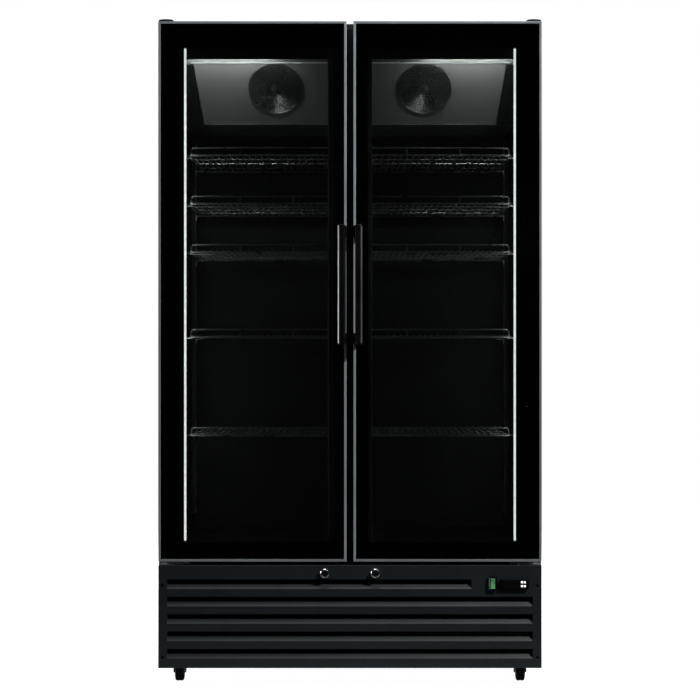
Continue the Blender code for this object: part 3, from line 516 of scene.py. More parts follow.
BLACK_STEEL = finish("black_powder_coat", (0.006, 0.006, 0.0065), 0.45, dust=0.006, specular=0.25,
                     rough_spread=0.03)
CHARCOAL = finish("charcoal_powder_coat", (0.0058, 0.0078, 0.0090), 0.42, dust=0.006, grain=900,
                  specular=0.26,
                  rough_spread=0.02)
GALVANISED = spangle("galvanised_sheet", (0.30, 0.31, 0.32), 0.50)
COVER_COAT = finish("evaporator_cover_coat", (0.050, 0.050, 0.050), 0.42, mottle=0.04, specular=0.3)
# A darker copy of the cover coat for the cover's upright band: painted shade.
COVER_BAND_PAINTED_SHADE = finish("evaporator_cover_upper_painted_shade", (0.016, 0.016, 0.016), 0.45, mottle=0.04, specular=0.2)
# A lighter copy of the cover coat for the rod along the cover's bend: a painted highlight.
COVER_BEND_PAINTED_HIGHLIGHT = finish("evaporator_cover_bend_painted_highlight", (0.150, 0.150, 0.150), 0.40, mottle=0.04)
FOAM = finish("rigid_foam", (0.75, 0.62, 0.36), 0.9, mottle_scale=14, mottle=0.10, grain=220,
              grain_depth=0.001)
LINER = finish("black_liner_plastic", (0.0018, 0.0018, 0.0020), 0.50, specular=0.12, grain=1200,
               grain_depth=0.00005)
ALUMINIUM = finish("coil_aluminium", (0.50, 0.51, 0.52), 0.35, 0.9, stretch=(1, 1, 12), dust=0.05)
COPPER = finish("copper_tube", (0.60, 0.27, 0.14), 0.30, 0.95, mottle=0.2)
ENAMEL = finish("black_enamel", (0.008, 0.008, 0.009), 0.25, coat=0.3, grain=250)
HANDLE_COAT = finish("handle_satin_black", (0.0012, 0.0012, 0.0014), 0.35, grain=900, grain_depth=0.00004,
                     specular=0.12)
# Lit and shaded copies of one edge metal. The lighter one adds a painted highlight to the left lamp's real
# reflection on the left handle. The darker one paints shade on the right handle's edge.
HANDLE_EDGE_PAINTED_HIGHLIGHT = finish("handle_edge_painted_highlight", (0.42, 0.43, 0.44), 0.42, 0.8, mottle=0.04, **BRUSHED_UP)
HANDLE_EDGE_PAINTED_SHADE = finish("handle_edge_painted_shade", (0.06, 0.06, 0.06), 0.42, 0.6, mottle=0.04, **BRUSHED_UP)
BLACK_PLASTIC = finish("moulded_black_plastic", (0.0015, 0.0015, 0.0018), 0.50, grain=1500, specular=0.2)
MATTE_BLACK = finish("matte_black_plastic", (0.0008, 0.0008, 0.0009), 0.70, grain=1500, specular=0.03)
SHELF_WIRE = finish("coated_shelf_wire", (0.020, 0.020, 0.021), 0.32, mottle=0.2)
TRIM_UP = finish("anodised_trim_outer", (0.135, 0.148, 0.158), 0.45, 0.30, mottle=0.06, **BRUSHED_UP)
# A lighter copy of the trim for the uprights beside the handles: painted highlight.
TRIM_INNER_PAINTED_HIGHLIGHT = finish("anodised_trim_inner_painted_highlight", (0.200, 0.218, 0.232), 0.45, 0.30, mottle=0.06, **BRUSHED_UP)
TRIM_ACROSS = finish("anodised_trim_level", (0.135, 0.148, 0.158), 0.45, 0.30, mottle=0.06, **BRUSHED_ACROSS)
# Black coat for the frame behind the glass; in the glass pocket it also paints shade.
RAIL_COAT_AND_PAINTED_SHADE = finish("black_rail_coat_and_painted_shade", (0.0025, 0.0025, 0.0026), 0.60, specular=0.08)
RUBBER = finish("black_rubber", (0.002, 0.002, 0.002), 0.75, dust=0.004, grain=500, specular=0.15)
GASKET = finish("gasket_rubber", (0.008, 0.008, 0.008), 0.70, grain=700)
ZINC = finish("zinc_plate", (0.52, 0.53, 0.54), 0.35, 0.85, grain=400)
CHROME = finish("polished_chrome", (0.62, 0.62, 0.64), 0.12, 1.0, mottle=0.04, rough_spread=0.04)
DARK_METAL = finish("blackened_fastener", (0.0015, 0.0015, 0.0015), 0.55, mottle=0.3, specular=0.1)
# A pale colour for a strip on the switch bezel's left edge: a painted highlight.
PALE_EDGE_PAINTED_HIGHLIGHT = finish("bezel_edge_painted_highlight", (0.16, 0.17, 0.17), 0.45, mottle=0.2)
GUARD_COAT = finish("fan_guard_coat", (0.009, 0.009, 0.009), 0.35, mottle=0.2)
COATED_FINS = finish("coated_evaporator_fins", (0.045, 0.047, 0.050), 0.45, 0.6, stretch=(1, 1, 12))
WHITE_BUTTON_PAINTED_GLOW = finish("white_button_plastic", (0.88, 0.88, 0.88), 0.35, mottle=0.02)
# The button plastic glows faintly though no lamp is in it: painted light that keeps the caps white.
put(WHITE_BUTTON_PAINTED_GLOW.node_tree.nodes["Principled BSDF"],
    {"Emission Color": (1, 1, 1, 1), "Emission Strength": 0.35})
GREEN_PLASTIC = finish("green_rocker_plastic", (0.060, 0.230, 0.085), 0.32, mottle=0.15, coat=0.3)
PRINT = finish("black_glass_print", (0.0003, 0.0003, 0.0003), 0.70, mottle=0.2, specular=0.0)
SPACER = finish("black_spacer_bar", (0.010, 0.010, 0.010), 0.45, grain=500)
DISPLAY = finish("smoked_display", (0.002, 0.002, 0.0025), 0.10, mottle=0.3, rough_spread=0.03, coat=0.5)
# A near-black filter mesh behind the louvres, which also paints the shade inside the machine compartment.
FILTER_PAINTED_SHADE = finish("dust_filter_mesh_painted_shade", (0.002, 0.002, 0.002), 0.9, mottle=0.5, grain=1800, grain_depth=0.0006,
                specular=0.05)
GLASS = glass_material("door_glass", (0.93, 0.965, 0.955), 0.01)
LED = light_material("led_diffuser", (0.93, 0.93, 0.92), 1.0)


# ---------------------------------------------------------------- small parts

def pan_screw(shape, centre, axis, direction, radius=0.0045, height=0.002):
    """A domed screw head with a cross recess, standing off a face in the given direction."""
    profile = [(0, height)]
    profile += [(radius * math.sin(a), height * math.cos(a)) for a in (0.5, 0.9, 1.25)]
    profile += [(radius, height * 0.18), (radius, -height * 0.2), (0, -height * 0.2)]
    turn = AXES[axis] if direction > 0 else AXES[axis] @ Matrix.Rotation(math.pi, 4, "X")
    place = Matrix.Translation(Vector(centre)) @ turn
    shape.turned(profile, "Z", (0, 0, 0), sides=16, turn=place)
    # The cross recess is drawn as thin raised bars in the piece's next material, which is near-black on zinc
    # heads: painted shade in the recess.
    before = shape.paint
    shape.paint = min(before + 1, 1)
    arm, slim = radius * 0.55, radius * 0.12
    for long_x, long_y in ((arm, slim), (slim, arm)):
        shape.box((-long_x, -long_y, height * 0.75), (long_x, long_y, height * 1.02), bevel=0.0, turn=place)
    shape.paint = before


# ---------------------------------------------------------------- doors

PRINT_INNER_X = CAD_HIGH.x - 0.078  # inner edge of the border on the hinge side
PRINT_HANDLE_X = {"left": 0.0302, "right": 0.0544}  # and on the handle side
PRINT_TOP = DOOR_HIGH.z - 0.0793
PRINT_BOTTOM = DOOR_LOW.z + 0.058
LOCK_SLOT_X = (0.0645, 0.1105)  # where the lock's cam enters the bottom rail
LOCK_SLOT_Y = (-0.3015, -0.2960)
HOLE_DEEP = 0.0062  # of the lock slot and the hinge pins' holes
PIN_HOLE = 0.0045


def make_doors():
    for side, sign in SIDES:
        body = f"{side}_door"
        low, high = corners(f"{side}_door_frame")
        x, z = (low.x, high.x), (low.z, high.z)
        f, b = DOOR_FRONT, DOOR_BACK
        lip, pocket, rail = LIP, 0.0255, 0.040
        groove_in, groove_out, groove_deep = 0.0372, 0.0208, 0.0030  # for the gasket's foot
        trim = Shape()
        profile = [
            (0.0, f + 0.0006), (0.0002, f + 0.0002), (0.0006, f), (lip - 0.0010, f),
            (lip - 0.0003, f + 0.0003),
            (lip, f + 0.001), (lip, f + pocket), (rail - 0.0008, f + pocket), (rail, f + pocket + 0.0008),
            (rail, b - 0.0008), (rail - 0.0008, b), (groove_in, b), (groove_in, b - groove_deep),
            (groove_out, b - groove_deep), (groove_out, b), (0.0010, b), (0.0, b - 0.0010), (0.0, f + 0.0262),
            (0.0009, f + 0.0256),
            (0.0009, f + 0.0240), (0.0, f + 0.0234),
        ]
        trim.ring_profile(x, z, profile)
        cutter = Shape()
        slot_x = ways(sign, *LOCK_SLOT_X)
        cutter.box((slot_x[0], LOCK_SLOT_Y[0], z[0] - 0.01), (slot_x[1], LOCK_SLOT_Y[1], z[0] + HOLE_DEEP),
                   bevel=0)
        pin = Vector(frame_joint(f"{side}_door_hinge"))
        for at in (z[0], z[1]):
            cutter.turned(cylinder(PIN_HOLE, -HOLE_DEEP, HOLE_DEEP), "Z", (pin.x, pin.y, at), sides=24)
        piece = trim.done(f"{side}_door_trim", [TRIM_UP, TRIM_ACROSS, TRIM_INNER_PAINTED_HIGHLIGHT, RAIL_COAT_AND_PAINTED_SHADE], body,
                          [f"{side}_door_frame"], cutter)
        paint_rails(piece, x, z)
        make_glass(side, sign, body)
        make_gasket(side, body, x, z)
        make_handle(side, sign, body)


def paint_rails(piece, x, z):
    """Brushing along each rail of the mitred frame, a lighter copy of the trim on the uprights near the
    middle as painted highlight, and a black coat on all that lies behind the glass, which in the glass pocket
    also paints shade.
    """
    for face in piece.data.polygons:
        centre = face.center
        reach_x = min(centre.x - x[0], x[1] - centre.x)
        reach_z = min(centre.z - z[0], z[1] - centre.z)
        if min(reach_x, reach_z) > LIP - 0.0002 and centre.y > DOOR_FRONT + 0.0011:
            # Behind the lip: the black coat, which in the glass pocket also paints shade.
            face.material_index = 3
        elif reach_z < reach_x:
            face.material_index = 1
        else:
            # Uprights near the middle take the lighter copy of the trim: painted highlight.
            face.material_index = 2 if abs(centre.x) < 0.1 else 0


def frame_joint(name):
    return next(j for j in frame["record"]["behaviour"]["joints"] if j["name"] == name)["pos_m"]


def make_glass(side, sign, body):
    low, high = corners(f"{side}_door_glass")
    pane = 0.004
    gap = 0.0002
    for name, y in (("front", low.y), ("rear", high.y - pane)):
        shape = Shape()
        shape.box((low.x, y, low.z), (high.x, y + pane, high.z), bevel=0.0006, segments=1, smooth=False)
        shape.done(f"{side}_door_{name}_pane", GLASS, body,
                   [f"{side}_door_glass"] if name == "front" else ())
    border = Shape()
    margin = 0.0006
    y0 = low.y + pane + gap
    xs = [low.x + margin, *ways(sign, PRINT_HANDLE_X[side], PRINT_INNER_X), high.x - margin]
    zs = [low.z + margin, PRINT_BOTTOM, PRINT_TOP, high.z - margin]
    border.sheet(xs, zs, lambda i, j: not (i == 1 and j == 1), "Y", y0, 0.0003)
    border.done(f"{side}_door_border_print", PRINT, body)

    bar = Shape()
    y1, y2 = y0 + 0.0006, high.y - pane - gap
    deep = 0.010
    profile = [(0.0008, y1), (deep - 0.001, y1), (deep, y1 + 0.001), (deep, y2 - 0.001), (deep - 0.001, y2),
               (0.0008, y2)]
    bar.ring_profile((low.x, high.x), (low.z, high.z), profile)
    bar.done(f"{side}_door_spacer", SPACER, body)


def make_gasket(side, body, x, z):
    low, high = corners(f"{side}_door_gasket")
    back, front = high.y, low.y
    outer = low.x - x[0]
    wide = 0.014
    shape = Shape()
    shape.ring_profile(x, z, [
        (outer + 0.0030, front - 0.0028), (outer + 0.0030, front + 0.0012), (outer, front + 0.0024),
        (outer + 0.0022, front + 0.0045), (outer + 0.0004, front + 0.0064), (outer, back - 0.0030),
        (outer + 0.0008, back), (outer + wide - 0.0008, back), (outer + wide, back - 0.0030),
        (outer + wide - 0.0004, front + 0.0064), (outer + wide - 0.0022, front + 0.0045),
        (outer + wide, front + 0.0024), (outer + wide - 0.0030, front + 0.0012),
        (outer + wide - 0.0030, front - 0.0028),
    ])
    shape.done(f"{side}_door_magnetic_gasket", GASKET, body, [f"{side}_door_gasket"])


def make_handle(side, sign, body):
    low, high = corners(f"{side}_door_handle")
    bar_x = ways(sign, 0.0155, 0.0365)
    thick = 0.014
    shape = Shape()
    outline = []
    round_front, round_back = 0.0045, 0.002
    x0, x1, y0, y1 = bar_x[0], bar_x[1], low.y + 0.0002, low.y + thick
    outline += arc((x1 - round_front, y0 + round_front), round_front, -90, 0, 6)
    outline += arc((x1 - round_back, y1 - round_back), round_back, 0, 90, 3)
    outline += arc((x0 + round_back, y1 - round_back), round_back, 90, 180, 3)
    outline += arc((x0 + round_front, y0 + round_front), round_front, 180, 270, 6)
    shape.prism(outline, "Z", low.z, high.z, bevel=0.0018, segments=3)
    foot_x = ways(sign, 0.0107, 0.0358)
    for foot_low, foot_high in ((low.z + 0.005, low.z + 0.035), (high.z - 0.035, high.z - 0.0025)):
        shape.box((foot_x[0], y1 - 0.004, foot_low), (foot_x[1], DOOR_FRONT - 0.0003, foot_high),
                  bevel=0.0022,
                  segments=3)
        shape.box((foot_x[0] - 0.0002, DOOR_FRONT - 0.0025, foot_low - 0.0006),
                  (foot_x[1] + 0.0002, DOOR_FRONT - 0.0003, foot_high + 0.0006), bevel=0.0008)
    # A metal strip on the bar's outer rounded edge. It is lighter on the left door, as a painted highlight,
    # and darker on the right door, as painted shade.
    shape.paint = 1
    pivot = (0.0365 - round_front, y0 + round_front)
    strip = arc(pivot, round_front + 0.0002, -85, -5, 10) + arc(pivot, round_front - 0.0006, -5, -85, 10)
    strip = [(sign * u, v) for u, v in strip]
    shape.prism(strip, "Z", low.z + 0.004, high.z - 0.004)
    edge_painted_highlight_and_shade = HANDLE_EDGE_PAINTED_HIGHLIGHT if sign < 0 else HANDLE_EDGE_PAINTED_SHADE
    shape.done(f"{side}_door_pull_handle", [HANDLE_COAT, edge_painted_highlight_and_shade], body,
               [f"{side}_door_handle"])


# ---------------------------------------------------------------- hinges

def make_hinges():
    for side, sign in SIDES:
        low, high = corners(f"{side}_top_hinge")
        base = TOP_HIGH.z + FIT
        pin = Vector(frame_joint(f"{side}_door_hinge"))
        cover = Shape()
        outline = [(low.x, base)]
        middle, half = (low.x + high.x) / 2, (high.x - low.x) / 2
        for i in range(13):
            a = math.pi * (1 - i / 12)
            outline.append((middle + half * math.cos(a),
                            base + 0.0006 + (high.z - base - 0.0006) * math.sin(a)))
        outline.append((high.x, base))
        cover.prism(outline[::-1], "Y", low.y, high.y, bevel=0.0006)
        cover.done(f"{side}_top_hinge_cover", BLACK_PLASTIC, "cabinet",
                   [f"{side}_top_hinge"])

        steel = Shape()
        steel.turned([(0, low.z), (0.0034, low.z), (0.004, low.z + 0.0006), (0.004, base + 0.0005),
                      (0, base + 0.0005)], "Z", (pin.x, pin.y, 0), sides=24)
        steel.box((middle - 0.016, low.y + 0.006, base - 0.0003),
                  (middle + 0.016, high.y - 0.004, base + 0.0012))
        for y in (CABINET_FRONT + 0.020, CABINET_FRONT + 0.048):
            pan_screw(steel, (middle, y, base + 0.0012), "Z", 1, radius=0.004)
        steel.done(f"{side}_top_hinge_bracket", [ZINC, DARK_METAL], "cabinet")

        low, high = corners(f"{side}_bottom_hinge")
        bracket = Shape()
        plate_top = DOOR_LOW.z - 0.0025
        out_x, in_x = (low.x, high.x) if sign < 0 else (high.x, low.x)
        nose = 0.028
        plan = [(out_x, low.y + 0.003), (out_x - sign * 0.020, low.y), (out_x - sign * 0.030, low.y + 0.004),
                (in_x, low.y + nose), (in_x, high.y), (out_x, high.y)]
        if sign > 0:
            plan = plan[::-1]
        bracket.prism(plan, "Z", low.z, plate_top, bevel=0.0008)
        wedge = [(out_x, plate_top - 0.001), (out_x, DOOR_LOW.z - 0.0006),
                 (out_x - sign * 0.058, DOOR_LOW.z - 0.0006), (out_x - sign * 0.024, plate_top - 0.001)]
        if sign < 0:
            wedge = wedge[::-1]
        bracket.prism(wedge, "Y", low.y + 0.004, low.y + 0.006, bevel=0.0003)
        bracket.box((low.x, high.y - 0.0022, low.z), (high.x, high.y, high.z), bevel=0.0006)
        for x in (low.x + 0.024, high.x - 0.024):
            pan_screw(bracket, (x, high.y - 0.0022, high.z - 0.009), "Y", -1, radius=0.004)
        bracket.turned([(0, plate_top - 0.001), (0.0075, plate_top - 0.001), (0.0075, plate_top + 0.0014),
                        (0.004, plate_top + 0.0018), (0.004, DOOR_LOW.z + 0.0046),
                        (0.0034, DOOR_LOW.z + 0.0052),
                        (0, DOOR_LOW.z + 0.0052)], "Z", (pin.x, pin.y, 0), sides=24)
        bracket.done(f"{side}_bottom_hinge_bracket", [ZINC, DARK_METAL], "cabinet",
                     [f"{side}_bottom_hinge"])


# ---------------------------------------------------------------- cabinet shell

def make_shell():
    bend = 0.003
    for side, sign in SIDES:
        shape = Shape()
        wall = ways(sign, HALF - SKIN, HALF)
        shape.box((wall[0], CABINET_FRONT + bend, SIDE_LOW.z), (wall[1], REAR, SIDE_HIGH.z), bevel=0.0003)
        corner = (HALF - bend, CABINET_FRONT + bend)
        outline = [(HALF, corner[1] + 0.001)] + arc(corner, bend, 0, -90, 6)
        outline += [(INSIDE + 0.0004, CABINET_FRONT), (INSIDE, CABINET_FRONT + 0.0004),
                    (INSIDE, CABINET_FRONT + SKIN)]
        outline += arc(corner, bend - SKIN, -90, 0, 4) + [(HALF - SKIN, corner[1] + 0.001)]
        outline = [(sign * u, v) for u, v in outline]
        shape.prism(outline, "Z", DECK_LOW.z, SIDE_HIGH.z)
        shape.done(f"{side}_side_skin", BLACK_STEEL, "cabinet", [f"{side}_side_panel"])

        screws = Shape()
        for z in (SIDE_LOW.z + 0.06, SIDE_LOW.z + 0.25):
            for y in (CABINET_FRONT + 0.05, REAR - 0.05):
                pan_screw(screws, (sign * (HALF - 0.0006), y, z), "X", sign, radius=0.004, height=0.0005)
        screws.done(f"{side}_side_screws", DARK_METAL, "cabinet")

    shape = Shape()
    across = TOP_HIGH.x
    outline = arc((CABINET_FRONT + bend, TOP_HIGH.z - bend), bend, 90, 180, 6)
    outline += [(CABINET_FRONT, TOP_LOW.z), (CABINET_FRONT + SKIN, TOP_LOW.z)]
    outline += arc((CABINET_FRONT + bend, TOP_HIGH.z - bend), bend - SKIN, 180, 90, 4)
    edge = INSIDE - FIT
    shape.prism(outline, "X", -edge, edge)
    shape.box((-across, CABINET_FRONT + SKIN + FIT, TOP_HIGH.z - SKIN), (across, REAR, TOP_HIGH.z),
              bevel=0.0003)
    shape.done("top_skin", BLACK_STEEL, "cabinet", ["top_panel"])

    screws = Shape()
    for x in (-0.50, -0.25, 0.0, 0.25, 0.50):
        pan_screw(screws, (x, REAR - 0.018, TOP_HIGH.z), "Z", 1)
    screws.done("top_screws", [DARK_METAL, DARK_METAL], "cabinet")


def make_rear_details():
    shape = Shape()
    low, high = corners("rear_panel")
    bottom, top, edge = low.z + 0.03, high.z - 0.03, high.x - 0.015
    places = [(x, z) for z in (bottom, low.z + 0.30, 0.80, 1.15, 1.50, 1.80, top) for x in (-edge, edge)]
    places += [(x, z) for x in (-0.30, 0.0, 0.30) for z in (bottom, top)]
    for x, z in places:
        pan_screw(shape, (x, REAR - 0.0017, z), "Y", 1, radius=0.004, height=0.0016)
    shape.done("rear_panel_screws", [ZINC, DARK_METAL], "cabinet")


def make_mullion():
    low, high = MULLION_LOW, MULLION_HIGH
    face_back = MULLION_FACE
    shape = Shape()
    step, step_x = 0.0010, 0.020
    outline = [(low.x + 0.001, low.y), (-step_x - 0.001, low.y), (-step_x, low.y + step),
               (step_x, low.y + step), (step_x + 0.001, low.y), (high.x - 0.001, low.y),
               (high.x, low.y + 0.001),
               (high.x, face_back - 0.002), (high.x - 0.002, face_back), (low.x + 0.002, face_back),
               (low.x, face_back - 0.002), (low.x, low.y + 0.001)]
    shape.prism(outline, "Z", low.z, high.z)
    shape.box((-PILASTER_WIDTH, face_back - 0.001, PILASTER_SPAN[0]),
              (PILASTER_WIDTH, face_back + PILASTER, PILASTER_SPAN[1]), bevel=0.001)
    shape.done("mullion_cover", BLACK_STEEL, "cabinet", ["center_mullion"])


def slotted_strip(shape, axis, place, thick, centre, wide):
    """A shelf standard: a thin steel strip with a row of slots for the clips."""
    slot_long, slot_wide, pitch = 0.014, 0.006, 0.025
    low, high = PILASTER_SPAN
    zs = [low + 0.004]
    count = int((high - low - 0.02) / pitch)
    for i in range(count):
        start = low + 0.012 + i * pitch
        zs += [start, start + slot_long]
    zs.append(high - 0.004)
    xs = [centre - wide / 2, centre - slot_wide / 2, centre + slot_wide / 2, centre + wide / 2]
    shape.sheet(xs, zs, lambda i, j: not (i == 1 and j % 2 == 1), axis, place, thick)


def make_standards():
    thick = 0.0010
    for side, sign in SIDES:
        face = sign * (INSIDE - PILASTER)
        for name, y in zip(("front", "rear"), PILASTER_PLACES):
            shape = Shape()
            slotted_strip(shape, "X", face, -sign * thick, y, 0.022)
            shape.done(f"{side}_{name}_shelf_standard", SHELF_WIRE, "cabinet")
    for side, sign in SIDES:
        shape = Shape()
        slotted_strip(shape, "Y", MULLION_FACE + PILASTER, thick, sign * MULLION_STANDARD_X, 0.020)
        shape.done(f"{side}_mullion_shelf_standard", SHELF_WIRE, "cabinet")
        shape = Shape()
        slotted_strip(shape, "Y", INSIDE_REAR - PILASTER, -thick, sign * MULLION_STANDARD_X, 0.020)
        shape.done(f"{side}_back_shelf_standard", SHELF_WIRE, "cabinet")


# ---------------------------------------------------------------- shelves

def make_shelves():
    rim, cross, slat = 0.0030, 0.0025, 0.0016  # wire radii
    for side, sign in SIDES:
        for tier in range(1, 6):
            name = f"shelf_{side}_{tier}"
            low, high = corners(name)
            guard_rise = 0.020
            top = high.z - guard_rise
            x0, x1, y0, y1 = low.x, high.x, low.y, high.y
            shape = Shape()
            level = top - 2 * slat - rim + 0.0006
            loop = [(x0 + rim, y0 + rim, level), (x1 - rim, y0 + rim, level), (x1 - rim, y1 - rim, level),
                    (x0 + rim, y1 - rim, level)]
            shape.rod(closed_path(loop, 0.010), rim, closed=True)
            for i in range(1, 4):
                y = y0 + (y1 - y0) * i / 4
                shape.rod([(x0 + rim, y, level), (x1 - rim, y, level)], cross)
            count = 25
            for i in range(count):
                x = x0 + 0.012 + (x1 - x0 - 0.024) * i / (count - 1)
                z = top - slat
                shape.rod([(x, y0 + 0.0015, z), (x, y1 - 0.0015, z)], slat, sides=6)
            guard_y = y0 + 0.0055
            guard_z = high.z - 0.0022
            path = [(x0 + 0.012, guard_y, level), (x0 + 0.012, guard_y, guard_z),
                    (x1 - 0.012, guard_y, guard_z), (x1 - 0.012, guard_y, level)]
            shape.rod(rounded_path(path, 0.012, 6), 0.0022)
            for i in (1, 2):
                x = x0 + (x1 - x0) * i / 3
                shape.rod([(x, guard_y, level), (x, guard_y, guard_z)], 0.0018, sides=6)
            shape.done(f"{name}_wires", SHELF_WIRE, "cabinet", [name])
            make_clips(side, sign, tier, x0, x1, level - rim)


def make_clips(side, sign, tier, x0, x1, under):
    """Four bent steel clips: two on the side wall's standards, one on the mullion and one at the back."""
    thick = 0.0012
    shape = Shape()
    outer = sign * (INSIDE - PILASTER - 0.0012)
    edge = x1 if sign > 0 else x0
    drop = 0.016
    side_parts = (
        ((outer, edge - sign * 0.012), 0.009, thick, 0),
        ((outer, outer - sign * thick), 0.009, drop, 0),
        ((outer + sign * 0.004, outer - sign * thick), 0.0025, 0.012, 0.004),
    )
    for y in PILASTER_PLACES:
        for ends, half, below, above in side_parts:
            x = sorted(ends)
            shape.box((x[0], y - half, under - below), (x[1], y + half, under - above), bevel=0.0003)
    inner, half = sign * MULLION_STANDARD_X, 0.008
    for face, toward in ((MULLION_FACE + PILASTER + 0.0011, 1), (INSIDE_REAR - PILASTER - 0.0011, -1)):
        for reach, below in ((0.026, thick), (thick, drop)):
            y = sorted((face, face + toward * reach))
            shape.box((inner - half, y[0], under - below), (inner + half, y[1], under), bevel=0.0003)
    shape.done(f"shelf_{side}_{tier}_clips", ZINC, "cabinet")


# ---------------------------------------------------------------- inside

def make_light_bars():
    for side, sign in SIDES:
        low, high = corners(f"led_light_bar_{side}")
        wall_x = sign * max(abs(low.x), abs(high.x))
        lit_x = sign * min(abs(low.x), abs(high.x))
        channel = Shape()
        outer = sorted((wall_x, lit_x + sign * 0.009))
        channel.box((outer[0], low.y, low.z), (outer[1], high.y, high.z), bevel=0.001)
        for z in (low.z, high.z - 0.006):
            cap = sorted((wall_x, lit_x))
            channel.box((cap[0], low.y, z), (cap[1], high.y, z + 0.006), bevel=0.0008)
        channel.done(f"{side}_led_channel", ALUMINIUM, "cabinet")
        glow = Shape()
        outline = []
        depth = (high.y - low.y) / 2 - 0.001
        middle = (low.y + high.y) / 2
        for i in range(9):
            a = math.pi * i / 8
            outline.append((lit_x + sign * 0.0095 - sign * 0.009 * math.sin(a), middle + depth * math.cos(a)))
        glow.prism(outline if sign > 0 else outline[::-1], "Z", low.z + 0.006, high.z - 0.006)
        glow.done(f"{side}_led_diffuser", LED, "cabinet", [f"led_light_bar_{side}"])


TILT = math.radians(35)  # of the evaporator's face, back from vertical
FACE_UP = Vector((0.0, -math.sin(TILT), math.cos(TILT)))
FACE_OUT = Vector((0.0, -math.cos(TILT), -math.sin(TILT)))
FACE_LONG = 0.215
GRILLE = 0.0875


def face_place(point):
    """Carries local X, up the face and out of it into the shared frame, at a point on the face."""
    return Matrix((
        (1, FACE_UP.x, FACE_OUT.x, point.x),
        (0, FACE_UP.y, FACE_OUT.y, point.y),
        (0, FACE_UP.z, FACE_OUT.z, point.z),
        (0, 0, 0, 1),
    ))


def pierced(outline, holes, thick):
    """A flat sheet in the local XY plane with round holes, as a bmesh."""
    curve = bpy.data.curves.new("pierced", "CURVE")
    curve.dimensions = "2D"
    curve.fill_mode = "BOTH"
    curve.extrude = thick / 2
    for points in (outline, *holes):
        spline = curve.splines.new("POLY")
        spline.points.add(len(points) - 1)
        for point, (x, y) in zip(spline.points, points):
            point.co = (x, y, 0, 1)
        spline.use_cyclic_u = True
    drawn = bpy.data.objects.new("pierced", curve)
    bpy.context.scene.collection.objects.link(drawn)
    bpy.context.view_layer.update()
    mesh = bpy.data.meshes.new_from_object(drawn.evaluated_get(bpy.context.evaluated_depsgraph_get()))
    bpy.data.objects.remove(drawn, do_unlink=True)
    bpy.data.curves.remove(curve)
    part = bmesh.new()
    part.from_mesh(mesh)
    bpy.data.meshes.remove(mesh)
    bmesh.ops.remove_doubles(part, verts=part.verts, dist=1e-6)
    return part


